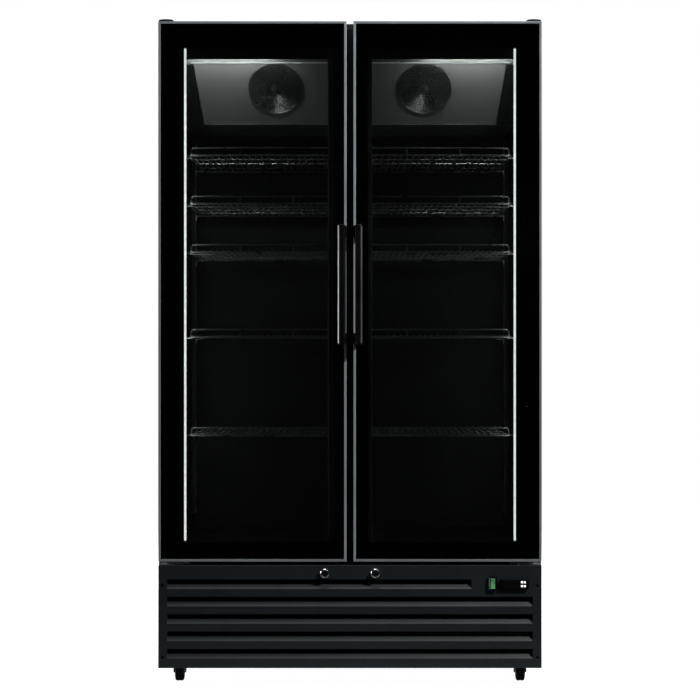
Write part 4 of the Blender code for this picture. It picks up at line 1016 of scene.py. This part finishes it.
def make_evaporator_cover():
    across = COVER_HIGH.x
    fan_pos = {side: Vector(frame_joint(f"evaporator_fan_{side}_spin")) for side, _ in SIDES}
    fan_back = 0.028
    centre = {side: pos + FACE_OUT * fan_back for side, pos in fan_pos.items()}
    fan_down = 0.0895
    top = Vector((0.0, centre["left"].y, centre["left"].z)) + FACE_UP * fan_down
    middle = top - FACE_UP * (FACE_LONG / 2)
    half = FACE_LONG / 2
    hole_up = half - fan_down
    shape = Shape()
    holes = [arc((pos.x, hole_up), GRILLE - 0.004, 0, 360 - 360 / 48, 47) for pos in centre.values()]
    outline = [(-across, -half), (across, -half), (across, half), (-across, half)]
    shape.take(pierced(outline, holes, SKIN), face_place(middle))
    foot = top - FACE_UP * FACE_LONG
    bend = 0.0026
    # A rod along the bend in the lighter copy of the coat: a painted highlight.
    shape.paint = 2
    ends = across - 0.028
    shape.rod([(-ends, top.y - 0.0004, top.z), (ends, top.y - 0.0004, top.z)], bend, sides=16)
    # The upright band above the bend takes the darker copy of the coat: painted shade.
    shape.paint = 1
    shape.box((-across, top.y - SKIN / 2, top.z - SKIN), (across, top.y + SKIN / 2, CEILING - FIT),
              bevel=0.0004)
    shape.paint = 0
    shape.box((-across, foot.y - SKIN, foot.z - SKIN / 2), (across, INSIDE_REAR - FIT, foot.z + SKIN / 2),
              bevel=0.0004)
    for x in (-0.49, -0.02, 0.02, 0.49):
        place = face_place(top - FACE_UP * 0.012 + Vector((x, 0, 0)))
        shape.turned([(0, 0.0024), (0.003, 0.0020), (0.0042, 0.0008), (0.0042, -0.0004), (0, -0.0004)], "Z",
                     (0, 0, 0), sides=16, turn=place)
    shape.done("evaporator_housing", [COVER_COAT, COVER_BAND_PAINTED_SHADE, COVER_BEND_PAINTED_HIGHLIGHT], "cabinet",
               ["evaporator_cover"])

    for side, sign in SIDES:
        # A near-black plate over each end of the cover's face, running diagonally up its slope: an end trim
        # which also paints the shade that falls on the cover's ends.
        trim = Shape()
        outline = [(sign * across, -half), (sign * (across - 0.060), -half),
                   (sign * (across - 0.036), half - 0.004),
                   (sign * across, half - 0.004)]
        if sign < 0:
            outline = outline[::-1]
        trim.take(pierced(outline, [], 0.0012), face_place(middle + FACE_OUT * 0.0018))
        start, end = outline[1 if sign > 0 else 2], outline[2 if sign > 0 else 1]
        trim.rod([(start[0], start[1], 0.0018), (end[0], end[1], 0.0018)], 0.0012, sides=8,
                 turn=face_place(middle))
        trim.done(f"{side}_evaporator_end_trim_painted_shade", LINER, "cabinet")

    for side, pos in centre.items():
        guard = Shape()
        place = face_place(pos)
        radius = GRILLE - 0.002
        rings, first_ring, wire_out = 9, 0.016, 0.0012
        step = (radius - first_ring) / rings
        for i in range(rings + 1):
            r = first_ring + i * step
            thick = 0.0013 if i < rings else 0.0024
            loop = [(r * math.cos(a), r * math.sin(a), wire_out) for a in turns(48)]
            guard.rod(loop, thick, sides=6, closed=True, turn=place)
        for i, a in enumerate(turns(48)):
            inner = 0.010 if i % 4 == 0 else 0.032 if i % 2 == 0 else 0.056
            guard.rod([(r * math.cos(a), r * math.sin(a), wire_out) for r in (inner, radius)], 0.0011,
                      sides=6, turn=place)
        guard.turned([(0, 0.0045), (0.008, 0.0040), (0.0125, 0.0022), (0.013, -0.0010), (0, -0.0010)], "Z",
                     (0, 0, 0), sides=32, turn=place)
        flange = [(GRILLE - 0.005, 0.0008), (GRILLE - 0.001, 0.0008), (GRILLE, 0.0016),
                  (GRILLE - 0.001, 0.0026), (GRILLE - 0.005, 0.0026)]
        guard.turned(flange, "Z", (0, 0, 0), sides=64, turn=place, closed=True)
        guard.done(f"{side}_fan_guard", GUARD_COAT, "cabinet")


def make_ceiling_light():
    """A lamp across the ceiling behind a black shade, which hides it and keeps its light on the housing."""
    x = INSIDE - 0.004
    y = -0.208
    drop = 1.9165
    sheet = 0.0012
    shade = Shape()
    shade.box((-x, y, drop), (x, y + sheet, CEILING - FIT), bevel=0.0004)
    shade.box((-x, y, drop), (x, y + 0.007, drop + sheet), bevel=0.0004)
    shade.rod([(end, y - 0.0018, drop + 0.0335) for end in (-x, x)], 0.0017, sides=10)
    shade.done("ceiling_light_shade", LINER, "cabinet")
    lamp = Shape()
    outline = arc((y + 0.016, CEILING - 0.003), 0.007, 180, 360, 8)
    lamp.prism(outline, "X", -x + 0.02, x - 0.02)
    lamp.done("ceiling_lamp_diffuser", LED, "cabinet")


# ---------------------------------------------------------------- lower panel

LOUVRE_TOP = PANEL_HIGH.z - 0.0426
LOUVRE_PITCH = 0.0526
LOUVRE_OPEN = 0.0133
LOUVRE_HALF = 0.553
LOUVRE_SLOPE = 0.0160
LOUVRE_DEEP = 0.0120
SHORT_END = 0.368
LOUVRES = 5
LOCK_X = 0.0765
LOCK_Z = PANEL_HIGH.z - 0.024
PANEL_SCREW_X = 0.5672
PANEL_SCREW_Z = (PANEL_HIGH.z - 0.0605, PANEL_LOW.z + 0.0325)
CAM_Y = -0.300


def make_louvred_panel():
    f = PANEL_LOW.y
    back = PANEL_HIGH.y
    sheet = 0.002
    top, bottom = PANEL_HIGH.z, PANEL_LOW.z
    rows = []
    for i in range(LOUVRES):
        row_top = LOUVRE_TOP - i * LOUVRE_PITCH
        rows.append((row_top, row_top - LOUVRE_OPEN, row_top - LOUVRE_OPEN - LOUVRE_SLOPE,
                     LOUVRE_HALF if i else SHORT_END))
    shape = Shape()
    switch, control = corners("light_switch"), corners("controller_housing")
    lock_half = 0.0092
    xs = sorted({-HALF, HALF, -LOUVRE_HALF, LOUVRE_HALF, SHORT_END,
                 -LOCK_X - lock_half, -LOCK_X + lock_half, LOCK_X - lock_half, LOCK_X + lock_half,
                 switch[0].x - 0.0007, switch[1].x + 0.0007, control[0].x + 0.003, control[1].x - 0.003})
    lip_z = control[0].z + 0.002
    roll = 0.0008
    zs = {bottom, top - roll, LOCK_Z - lock_half, LOCK_Z + lock_half, switch[0].z - 0.0007,
          switch[1].z + 0.0007,
          lip_z, control[1].z - 0.002}
    for row_top, _, low, _ in rows:
        zs |= {row_top, low}
    zs = sorted(zs)

    def keep(i, j):
        x, z = (xs[i] + xs[i + 1]) / 2, (zs[j] + zs[j + 1]) / 2
        for row_top, _, low, right in rows:
            if low < z < row_top and -LOUVRE_HALF < x < right:
                return False
        if abs(abs(x) - LOCK_X) < lock_half and abs(z - LOCK_Z) < lock_half:
            return False
        if switch[0].x - 0.001 < x < switch[1].x + 0.001 and switch[0].z - 0.001 < z < switch[1].z + 0.001:
            return False
        return not (control[0].x + 0.003 < x < control[1].x - 0.003 and lip_z < z < control[1].z - 0.002)

    shape.sheet(xs, zs, keep, "Y", f, sheet)
    for row_top, open_z, low, right in rows:
        blade = [(f + 0.0002, low + 0.0003), (f + LOUVRE_DEEP, open_z),
                 (f + LOUVRE_DEEP + sheet, open_z - 0.0004), (f + sheet, low - 0.002),
                 (f + 0.0004, low - 0.0012)]
        shape.prism(blade, "X", -LOUVRE_HALF, right)
        hood = [(f, row_top + 0.0006), (f + 0.0004, row_top), (f + 0.010, row_top + 0.0060),
                (f + 0.010, row_top + 0.0080), (f + 0.0015, row_top + 0.0022)]
        shape.prism(hood, "X", -LOUVRE_HALF, right)
        for end in (-LOUVRE_HALF, right):
            side = 1 if end > 0 else -1
            x0, x1 = sorted((end, end + side * 0.0016))
            cheek = [(f + 0.0010, row_top + 0.001), (f + LOUVRE_DEEP + sheet, row_top + 0.001),
                     (f + LOUVRE_DEEP + sheet, open_z - 0.002), (f + 0.0010, low - 0.001)]
            shape.prism(cheek, "X", x0, x1)
    for sign in (-1, 1):
        x = ways(sign, HALF - sheet, HALF)
        shape.box((x[0], f + 0.0002, bottom), (x[1], back, top - roll), bevel=0.0004)
    fold = 0.012
    shape.box((-HALF + 0.001, f + 0.0002, bottom), (HALF - 0.001, f + fold, bottom + sheet), bevel=0.0004)
    lip = arc((f + roll, top - roll), roll, 180, 90, 6)
    lip += [(f + fold, top), (f + fold, top - roll), (f + roll, top - roll)]
    shape.prism(lip, "X", -HALF + roll, HALF - roll)
    shape.done("louvred_panel", CHARCOAL, "cabinet", ["front_grille"])

    screws = Shape()
    for x in (-PANEL_SCREW_X, PANEL_SCREW_X):
        for z in PANEL_SCREW_Z:
            pan_screw(screws, (x, f, z), "Y", -1, radius=0.0046, height=0.0010)
    screws.done("panel_screws", [MATTE_BLACK, MATTE_BLACK], "cabinet")

    # A near-black filter sheet behind the louvre openings: it keeps them black, painting the shade of the
    # compartment behind.
    filter_painted_shade = Shape()
    step_z = control[0].z - 0.004
    outline = [(-HALF + 0.006, bottom + 0.006), (HALF - 0.006, bottom + 0.006), (HALF - 0.006, step_z),
               (SHORT_END + 0.012, step_z), (SHORT_END + 0.012, top - 0.042), (-HALF + 0.006, top - 0.042)]
    filter_painted_shade.prism(outline, "Y", f + 0.022, f + 0.0235)
    filter_painted_shade.done("grille_dust_filter_painted_shade", FILTER_PAINTED_SHADE, "cabinet")


def make_locks():
    f = PANEL_LOW.y
    for side, sign in SIDES:
        x = sign * LOCK_X
        ring = Shape()
        low, high = corners(f"{side}_lock")
        front = low.y
        proud = f - front
        ring.turned([(0.0109, -FIT), (0.0109, 0.0004 - proud), (0.0114, -proud - 0.0002),
                     (0.0124, -proud - 0.0003),
                     (0.0136, 0.0006 - proud), (0.0141, 0.0020 - proud), (0.0142, -FIT)], "Y",
                    (x, f, LOCK_Z), sides=40, closed=True)
        ring.done(f"{side}_lock_ring", CHROME, "cabinet")

        plug = Shape()
        plug.turned([(0, front + 0.0012), (0.0085, front + 0.0012), (0.0092, front + 0.0002), (0.0100, front),
                     (0.0105, front + 0.0008), (0.0105, f - FIT), (0.0085, f - FIT), (0.0085, -0.2990),
                     (0, -0.2990)], "Y", (x, 0, LOCK_Z), sides=40)
        plug.paint = 1
        plug.turned(cylinder(0.0084, front + 0.0010, front + 0.0016), "Y", (x, 0, LOCK_Z), sides=40)
        # The key slot is a thin near-black bar in the print colour on the plug's face: painted shade for the
        # keyway.
        plug.paint = 2
        plug.box((x - 0.0008, front + 0.0006, LOCK_Z - 0.0052), (x + 0.0008, front + 0.0013, LOCK_Z + 0.0052),
                 bevel=0.0002)
        plug.paint = 0
        end = sign * (LOCK_X + 0.0395)
        outline = [(x - sign * 0.007, LOCK_Z - 0.007), (end - sign * 0.004, LOCK_Z - 0.007),
                   (end, LOCK_Z - 0.003),
                   (end, LOCK_Z + 0.003), (end - sign * 0.004, LOCK_Z + 0.007),
                   (x - sign * 0.007, LOCK_Z + 0.007)]
        plug.prism(outline, "Y", CAM_Y, CAM_Y + 0.0025, bevel=0.0005)
        plug.done(f"{side}_lock_plug", [CHROME, DARK_METAL, PRINT], f"{side}_lock",
                  [f"{side}_lock"])


def make_controls():
    low, high = corners("controller_housing")
    f = PANEL_LOW.y
    face = low.y
    button_boxes = [corners(f"controller_button_{i}") for i in range(1, 5)]
    window_end = min(box[0].x for box in button_boxes) - 0.0050
    case = Shape()
    frame_wide = 0.0022
    case.ring_profile((low.x, high.x), (low.z, high.z), [
        (0.0, f - FIT), (0.0, face + 0.0022), (0.0007, face + 0.0006), (0.0016, face), (frame_wide, face),
        (frame_wide + 0.0006, face + 0.0009), (frame_wide + 0.0006, f - FIT),
    ])
    inner = frame_wide - 0.0002
    outline = [(low.x + inner, low.z + inner), (high.x - inner, low.z + inner),
               (high.x - inner, high.z - inner),
               (low.x + inner, high.z - inner)]
    holes = []
    for box_low, box_high in button_boxes:
        middle = (box_low + box_high) / 2
        holes.append(arc((middle.x, middle.z), 0.0041, 0, 360 - 360 / 28, 27))
    case.take(pierced(outline, holes, 0.0012),
              Matrix.Translation((0, face + 0.0014, 0)) @ Matrix.Rotation(math.pi / 2, 4, "X"))
    body_low = max(box[1].y for box in button_boxes) + 0.0012
    body_x = (low.x + 0.0035, high.x - 0.0035)
    body_z = (low.z + 0.0025, high.z - 0.0025)
    case.box((body_x[0], body_low, body_z[0]), (body_x[1], high.y, body_z[1]), bevel=0.001)
    case.ring_profile(body_x, body_z, [
        (0.0, f - 0.001), (0.0, body_low + 0.002), (0.0014, body_low + 0.002), (0.0014, f - 0.001)])
    case.done("controller_case", MATTE_BLACK, "cabinet", ["controller_housing"])

    glass = Shape()
    glass.box((low.x + 0.005, face + 0.0002, low.z + 0.0050), (window_end, face + 0.0010, high.z - 0.0050),
              bevel=0.0003)
    glass.done("controller_display", DISPLAY, "cabinet")

    for i, (box_low, box_high) in enumerate(button_boxes, start=1):
        middle = (box_low + box_high) / 2
        radius = (box_high.x - box_low.x) / 2
        cap = Shape()
        cap.turned([(0, box_low.y), (radius * 0.55, box_low.y + 0.00012), (radius * 0.85, box_low.y + 0.0004),
                    (radius, box_low.y + 0.0009), (radius, box_high.y), (0, box_high.y)], "Y",
                   (middle.x, 0, middle.z), sides=28)
        cap.done(f"controller_button_cap_{i}", WHITE_BUTTON_PAINTED_GLOW, f"controller_button_{i}",
                 [f"controller_button_{i}"])
    make_light_switch()


def make_light_switch():
    low, high = corners("light_switch")
    f = PANEL_LOW.y
    mid_z = (low.z + high.z) / 2
    gap_x, gap_z, rim = 0.0005, 0.0016, 0.0048
    bezel = Shape()
    x = (low.x - gap_x - rim, high.x + gap_x + rim)
    z = (low.z - gap_z - rim * 0.6, high.z + gap_z + rim * 0.6)
    front = low.y + 0.0006
    bezel.ring_profile(x, z,
                       [(0.0, f - FIT), (0.0, front + 0.0020), (0.0008, front + 0.0005), (0.0018, front),
                              (rim * 0.6 - 0.0004, front), (rim * 0.6, front + 0.0004), (rim * 0.6, f - FIT)])
    for edge, way in ((x[0] + rim * 0.6 - 0.0002, 1), (x[1] - rim * 0.6 + 0.0002, -1)):
        ends = sorted((edge, edge + way * (rim * 0.4)))
        bezel.box((ends[0], front + 0.0004, z[0] + rim * 0.5), (ends[1], f - FIT, z[1] - rim * 0.5),
                  bevel=0.0003)
    # A pale strip down the bezel's left edge: a painted highlight.
    bezel.paint = 1
    strip = x[0] + 0.0006
    bezel.box((strip, front - 0.0004, z[0] + 0.002), (strip + 0.0012, front + 0.0008, z[1] - 0.002),
              bevel=0.0003)
    bezel.done("light_switch_bezel", [MATTE_BLACK, PALE_EDGE_PAINTED_HIGHLIGHT], "cabinet")
    rocker = Shape()
    tall = (high.z - low.z) / 2
    hollow = 0.0020
    outline = [(low.y + hollow * (1 - (t / 6) ** 2), mid_z + tall * t / 6) for t in range(-6, 7)]
    outline += [(high.y - 0.004, high.z - 0.002), (high.y, high.z - 0.005), (high.y, low.z + 0.005),
                (high.y - 0.004, low.z + 0.002)]
    rocker.prism(outline[::-1], "X", low.x + 0.0002, high.x - 0.0002, bevel=0.0004)
    for k in (-3, -2, -1, 1, 2, 3):
        z0 = mid_z + tall * k / 4.2
        depth = low.y + hollow * (1 - (k / 4.2) ** 2)
        rocker.rod([(low.x + 0.002, depth + 0.0002, z0), (high.x - 0.002, depth + 0.0002, z0)], 0.0006,
                   sides=8)
    rocker.done("light_switch_rocker", GREEN_PLASTIC, "light_switch", ["light_switch"])


# ---------------------------------------------------------------- casters

def make_casters():
    for place in ("front", "rear"):
        for side, sign in SIDES:
            name = f"{place}_{side}_caster"
            swivel = Vector(frame_joint(f"{name}_swivel"))
            axle = Vector(frame_joint(f"{name}_roll"))
            make_fork(name, sign, swivel, axle)
            make_wheel(name, axle)


def make_fork(name, sign, swivel, axle):
    top = swivel.z
    cheek, inner = 0.003, 0.0145
    fork = Shape()
    fork.turned([(0, top), (0.0195, top), (0.021, top - 0.0012), (0.0205, top - 0.003),
                 (0.0165, top - 0.0042),
                 (0, top - 0.0042)], "Z", (swivel.x, swivel.y, 0), sides=32)
    crown = top - 0.004
    trail = axle.y - swivel.y
    for flip in (-1, 1):
        outline = [(-0.0138, crown + 0.001), (0.0138, crown + 0.001)]
        outline += arc((trail, axle.z), 0.0075, 20, -200, 10)
        outline = [(swivel.y + u, v) for u, v in outline]
        x = ways(flip, inner, inner + cheek - 0.0004)
        fork.paint = 0 if flip == sign else 2
        fork.prism(outline, "X", swivel.x + x[0], swivel.x + x[1], bevel=0.0006)
    fork.paint = 0
    fork.box((swivel.x - inner - 0.002, swivel.y - 0.0138, crown - 0.0022),
             (swivel.x + inner + 0.002, swivel.y + 0.0138, crown + 0.0008), bevel=0.0007)
    fork.turned([(0, top - 0.002), (0.0050, top - 0.002), (0.0050, TRAY_LOW.z + 0.0052),
                 (0.0042, TRAY_LOW.z + 0.006), (0, TRAY_LOW.z + 0.006)], "Z", (swivel.x, swivel.y, 0),
                 sides=20)
    fork.paint = 1
    reach = inner + cheek + 0.0025
    fork.turned([(0, -reach), (0.0034, -reach), (0.0040, -reach + 0.0006), (0.0040, reach - 0.0006),
                 (0.0034, reach), (0, reach)], "X", axle, sides=20)
    for flip in (-1, 1):
        start, end = sorted((flip * (inner + cheek - 0.0004), flip * (reach - 0.0006)))
        hexagon = [(axle.y + 0.0068 * math.cos(math.radians(60 * k + 15)),
                    axle.z + 0.0068 * math.sin(math.radians(60 * k + 15))) for k in range(6)]
        fork.prism(hexagon, "X", axle.x + start, axle.x + end, bevel=0.0004)
    fork.done(f"{name}_yoke", [ENAMEL, DARK_METAL, ZINC], f"{name}_fork", [f"{name}_fork"])


def make_wheel(name, axle):
    low, high = corners(f"{name}_wheel")
    radius = (high.z - low.z) / 2
    half = (high.x - low.x) / 2
    bore = 0.0045
    wheel = Shape()
    soft = 0.0055
    tread = [(radius - 0.0095, half - 0.0012), (radius - soft, half)]
    tread += [(radius - soft + soft * math.sin(a), half - soft + soft * math.cos(a))
              for a in (0.5, 1.0, 1.4)]
    tread += [(radius, 0.004), (radius - 0.0004, 0.0), (radius, -0.004)]
    tread += [(r, -h) for r, h in tread[4:1:-1]]
    tread += [(radius - soft, -half), (radius - 0.0095, -half + 0.0012)]
    wheel.turned(tread, "X", axle, sides=64, closed=True)
    wheel.paint = 1
    hub = [(bore, half - 0.0008), (0.010, half - 0.0008), (0.011, half - 0.0022),
           (radius - 0.0100, half - 0.0034),
           (radius - 0.0090, half - 0.0016)]
    hub += [(r, -h) for r, h in hub[::-1]]
    wheel.turned(hub, "X", axle, sides=48, closed=True)
    wheel.done(f"{name}_tyre_and_hub", [RUBBER, BLACK_PLASTIC], f"{name}_wheel",
               [f"{name}_wheel"])


# ---------------------------------------------------- machine compartment and CAD nodes shown as they are

def make_machinery():
    low, high = corners("compressor")
    centre = (low + high) / 2
    radius = 0.078
    shape = Shape()
    seam = low.z + 0.100
    shape.turned([(radius - 0.001, seam - 0.004), (radius + 0.0024, seam - 0.002),
                  (radius + 0.0024, seam + 0.002),
                  (radius - 0.001, seam + 0.004)], "Z", (centre.x, centre.y, 0), sides=48, closed=True)
    shape.box((centre.x + radius - 0.010, centre.y - 0.030, low.z + 0.045),
              (centre.x + radius + 0.022, centre.y + 0.030, low.z + 0.105), bevel=0.004, segments=3)
    shape.done("compressor_weld_and_terminal_cover", [ENAMEL], "cabinet")
    tubes = Shape()
    shell_y = centre.y - radius
    suction = [(-0.03, 0.006, 0.12), (-0.03, -0.03, 0.12), (-0.03, -0.03, 0.06), (-0.13, -0.03, 0.06)]
    discharge = [(0.03, 0.008, 0.09), (0.03, -0.045, 0.09), (0.22, -0.045, 0.09)]
    for route, thick in ((suction, 0.0045), (discharge, 0.0032)):
        points = [(centre.x + x, shell_y + y, low.z + z) for x, y, z in route]
        tubes.rod(rounded_path(points, 0.018, 6), thick, sides=12)
    tubes.done("refrigerant_tubes", COPPER, "cabinet")


CARRIED = {
    "foam_insulation": FOAM,
    "inner_liner": LINER,
    "rear_panel": GALVANISED,
    "floor_deck": BLACK_STEEL,
    "base_tray": GALVANISED,
    "electrical_box": GALVANISED,
    "evaporator_fan_bracket": BLACK_STEEL,
    "compressor": ENAMEL,
    "condenser_coil": ALUMINIUM,
    "condenser_fan_shroud": ENAMEL,
    "condenser_fan": ALUMINIUM,
    "evaporator_coil": COATED_FINS,
    "evaporator_fan_left": BLACK_PLASTIC,
    "evaporator_fan_right": BLACK_PLASTIC,
}


def paint_carried():
    for name, material in CARRIED.items():
        for slot in frame["nodes"][name].material_slots:
            slot.material = material


# ---------------------------------------------------------------- studio

def area_light(name, where, aim, size, power):
    data = bpy.data.lights.new(name, "AREA")
    data.shape = "RECTANGLE"
    data.size, data.size_y = size
    data.energy = power
    obj = bpy.data.objects.new(name, data)
    obj.location = where
    obj.rotation_euler = (Vector(aim) - Vector(where)).to_track_quat("-Z", "Y").to_euler()
    bpy.context.scene.collection.objects.link(obj)
    obj.visible_camera = False


def make_floor():
    radius = 2.7
    mesh = bpy.data.meshes.new("floor")
    part = bmesh.new()
    bmesh.ops.create_circle(part, cap_ends=True, segments=96, radius=radius)
    part.to_mesh(mesh)
    part.free()
    floor = bpy.data.objects.new("floor", mesh)
    floor.location = (0, 1.7, -0.0005)
    bpy.context.scene.collection.objects.link(floor)
    made, tree, shader, where = blank("pale_floor")
    put(shader, {"Base Color": (0.80, 0.80, 0.80, 1), "Roughness": 0.9, "Specular IOR Level": 0.1,
                 "Emission Color": (1, 1, 1, 1)})
    seen = node(tree, "ShaderNodeLightPath").outputs["Is Camera Ray"]
    tree.links.new(remap(tree, seen, 0, 1, 0.30, 0.93), shader.inputs["Emission Strength"])
    length = node(tree, "ShaderNodeVectorMath", operation="LENGTH")
    tree.links.new(where, length.inputs[0])
    fade = remap(tree, length.outputs["Value"], radius * 0.50, radius * 0.97, 1.0, 0.0)
    tree.links.new(fade, shader.inputs["Alpha"])
    mesh.materials.append(made)
    floor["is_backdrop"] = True


def make_world():
    world = bpy.data.worlds.new("studio")
    bpy.context.scene.world = world
    world.use_nodes = True
    tree = world.node_tree
    tree.nodes.clear()
    out = node(tree, "ShaderNodeOutputWorld")
    path = node(tree, "ShaderNodeLightPath")
    seen = node(tree, "ShaderNodeBackground")
    put(seen, {"Color": (1, 1, 1, 1), "Strength": 1.0})
    soft = node(tree, "ShaderNodeBackground")
    direction = node(tree, "ShaderNodeTexCoord").outputs["Generated"]
    split = node(tree, "ShaderNodeSeparateXYZ")
    tree.links.new(direction, split.inputs["Vector"])
    height = remap(tree, split.outputs["Z"], 0.25, 0.8, 0.0, 1.0)
    shade = blend(tree, height, (0.004, 0.004, 0.004), (0.20, 0.205, 0.21))
    tree.links.new(shade, soft.inputs["Color"])
    put(soft, {"Strength": 1.0})
    mix = node(tree, "ShaderNodeMixShader")
    tree.links.new(path.outputs["Is Camera Ray"], mix.inputs[0])
    tree.links.new(soft.outputs[0], mix.inputs[1])
    tree.links.new(seen.outputs[0], mix.inputs[2])
    tree.links.new(mix.outputs[0], out.inputs["Surface"])


def make_lights():
    aim = Vector((0.0, -0.3, 0.5))
    for lamp in (
        ("key_upper_right", aim + Vector((4.16, -2.85, 4.84)), aim, (0.4, 0.4), 830),
        ("overhead", (0.0, -0.8, 4.2), (0, -0.3, 0.4), (2.4, 1.0), 70),
        ("left_edge", (-5.0, -0.5, 1.2), (-0.5, -0.3, 1.1), (0.5, 1.8), 90),
        ("right_edge", (5.0, 0.2, 1.2), (0.5, -0.3, 1.1), (0.5, 1.8), 12),
        ("back_fill", (0.0, 4.5, 3.2), (0, 0.3, 1.0), (3.0, 2.0), 90),
    ):
        area_light(*lamp)
    for side, sign in SIDES:
        low, high = corners(f"led_light_bar_{side}")
        x = sign * (min(abs(low.x), abs(high.x)) - 0.002)
        long = high.z - low.z - 0.26
        middle = low.z + 0.01 + long / 2
        area_light(f"{side}_led_row", (x, high.y - 0.004, middle), (x - sign * 0.5, high.y + 0.45, middle),
                   (0.010, long), 0.8)
        area_light(f"{side}_ceiling_lamp", (sign * 0.375, -0.188, CEILING - 0.012),
                   (sign * 0.375, -0.060, CEILING - 0.075), (0.27, 0.006), 2.1)


def make_camera():
    distance = 5.0
    field = 2.1168  # metres of the door plane across the picture
    sensor = 36.0
    data = bpy.data.cameras.new("camera")
    data.sensor_width = sensor
    data.lens = sensor * distance / field
    data.clip_end = 100
    camera = bpy.data.objects.new("camera", data)
    camera.location = (0.0, DOOR_FRONT - distance, 1.018)
    camera.rotation_euler = (math.pi / 2, 0, 0)
    bpy.context.scene.collection.objects.link(camera)
    bpy.context.scene.camera = camera


make_camera()
make_doors()
make_hinges()
make_shell()
make_rear_details()
make_mullion()
make_standards()
make_shelves()
make_light_bars()
make_evaporator_cover()
make_ceiling_light()
make_louvred_panel()
make_locks()
make_controls()
make_casters()
make_machinery()
paint_carried()
make_floor()
make_world()
make_lights()
bpy.context.scene.view_settings.view_transform = "Standard"
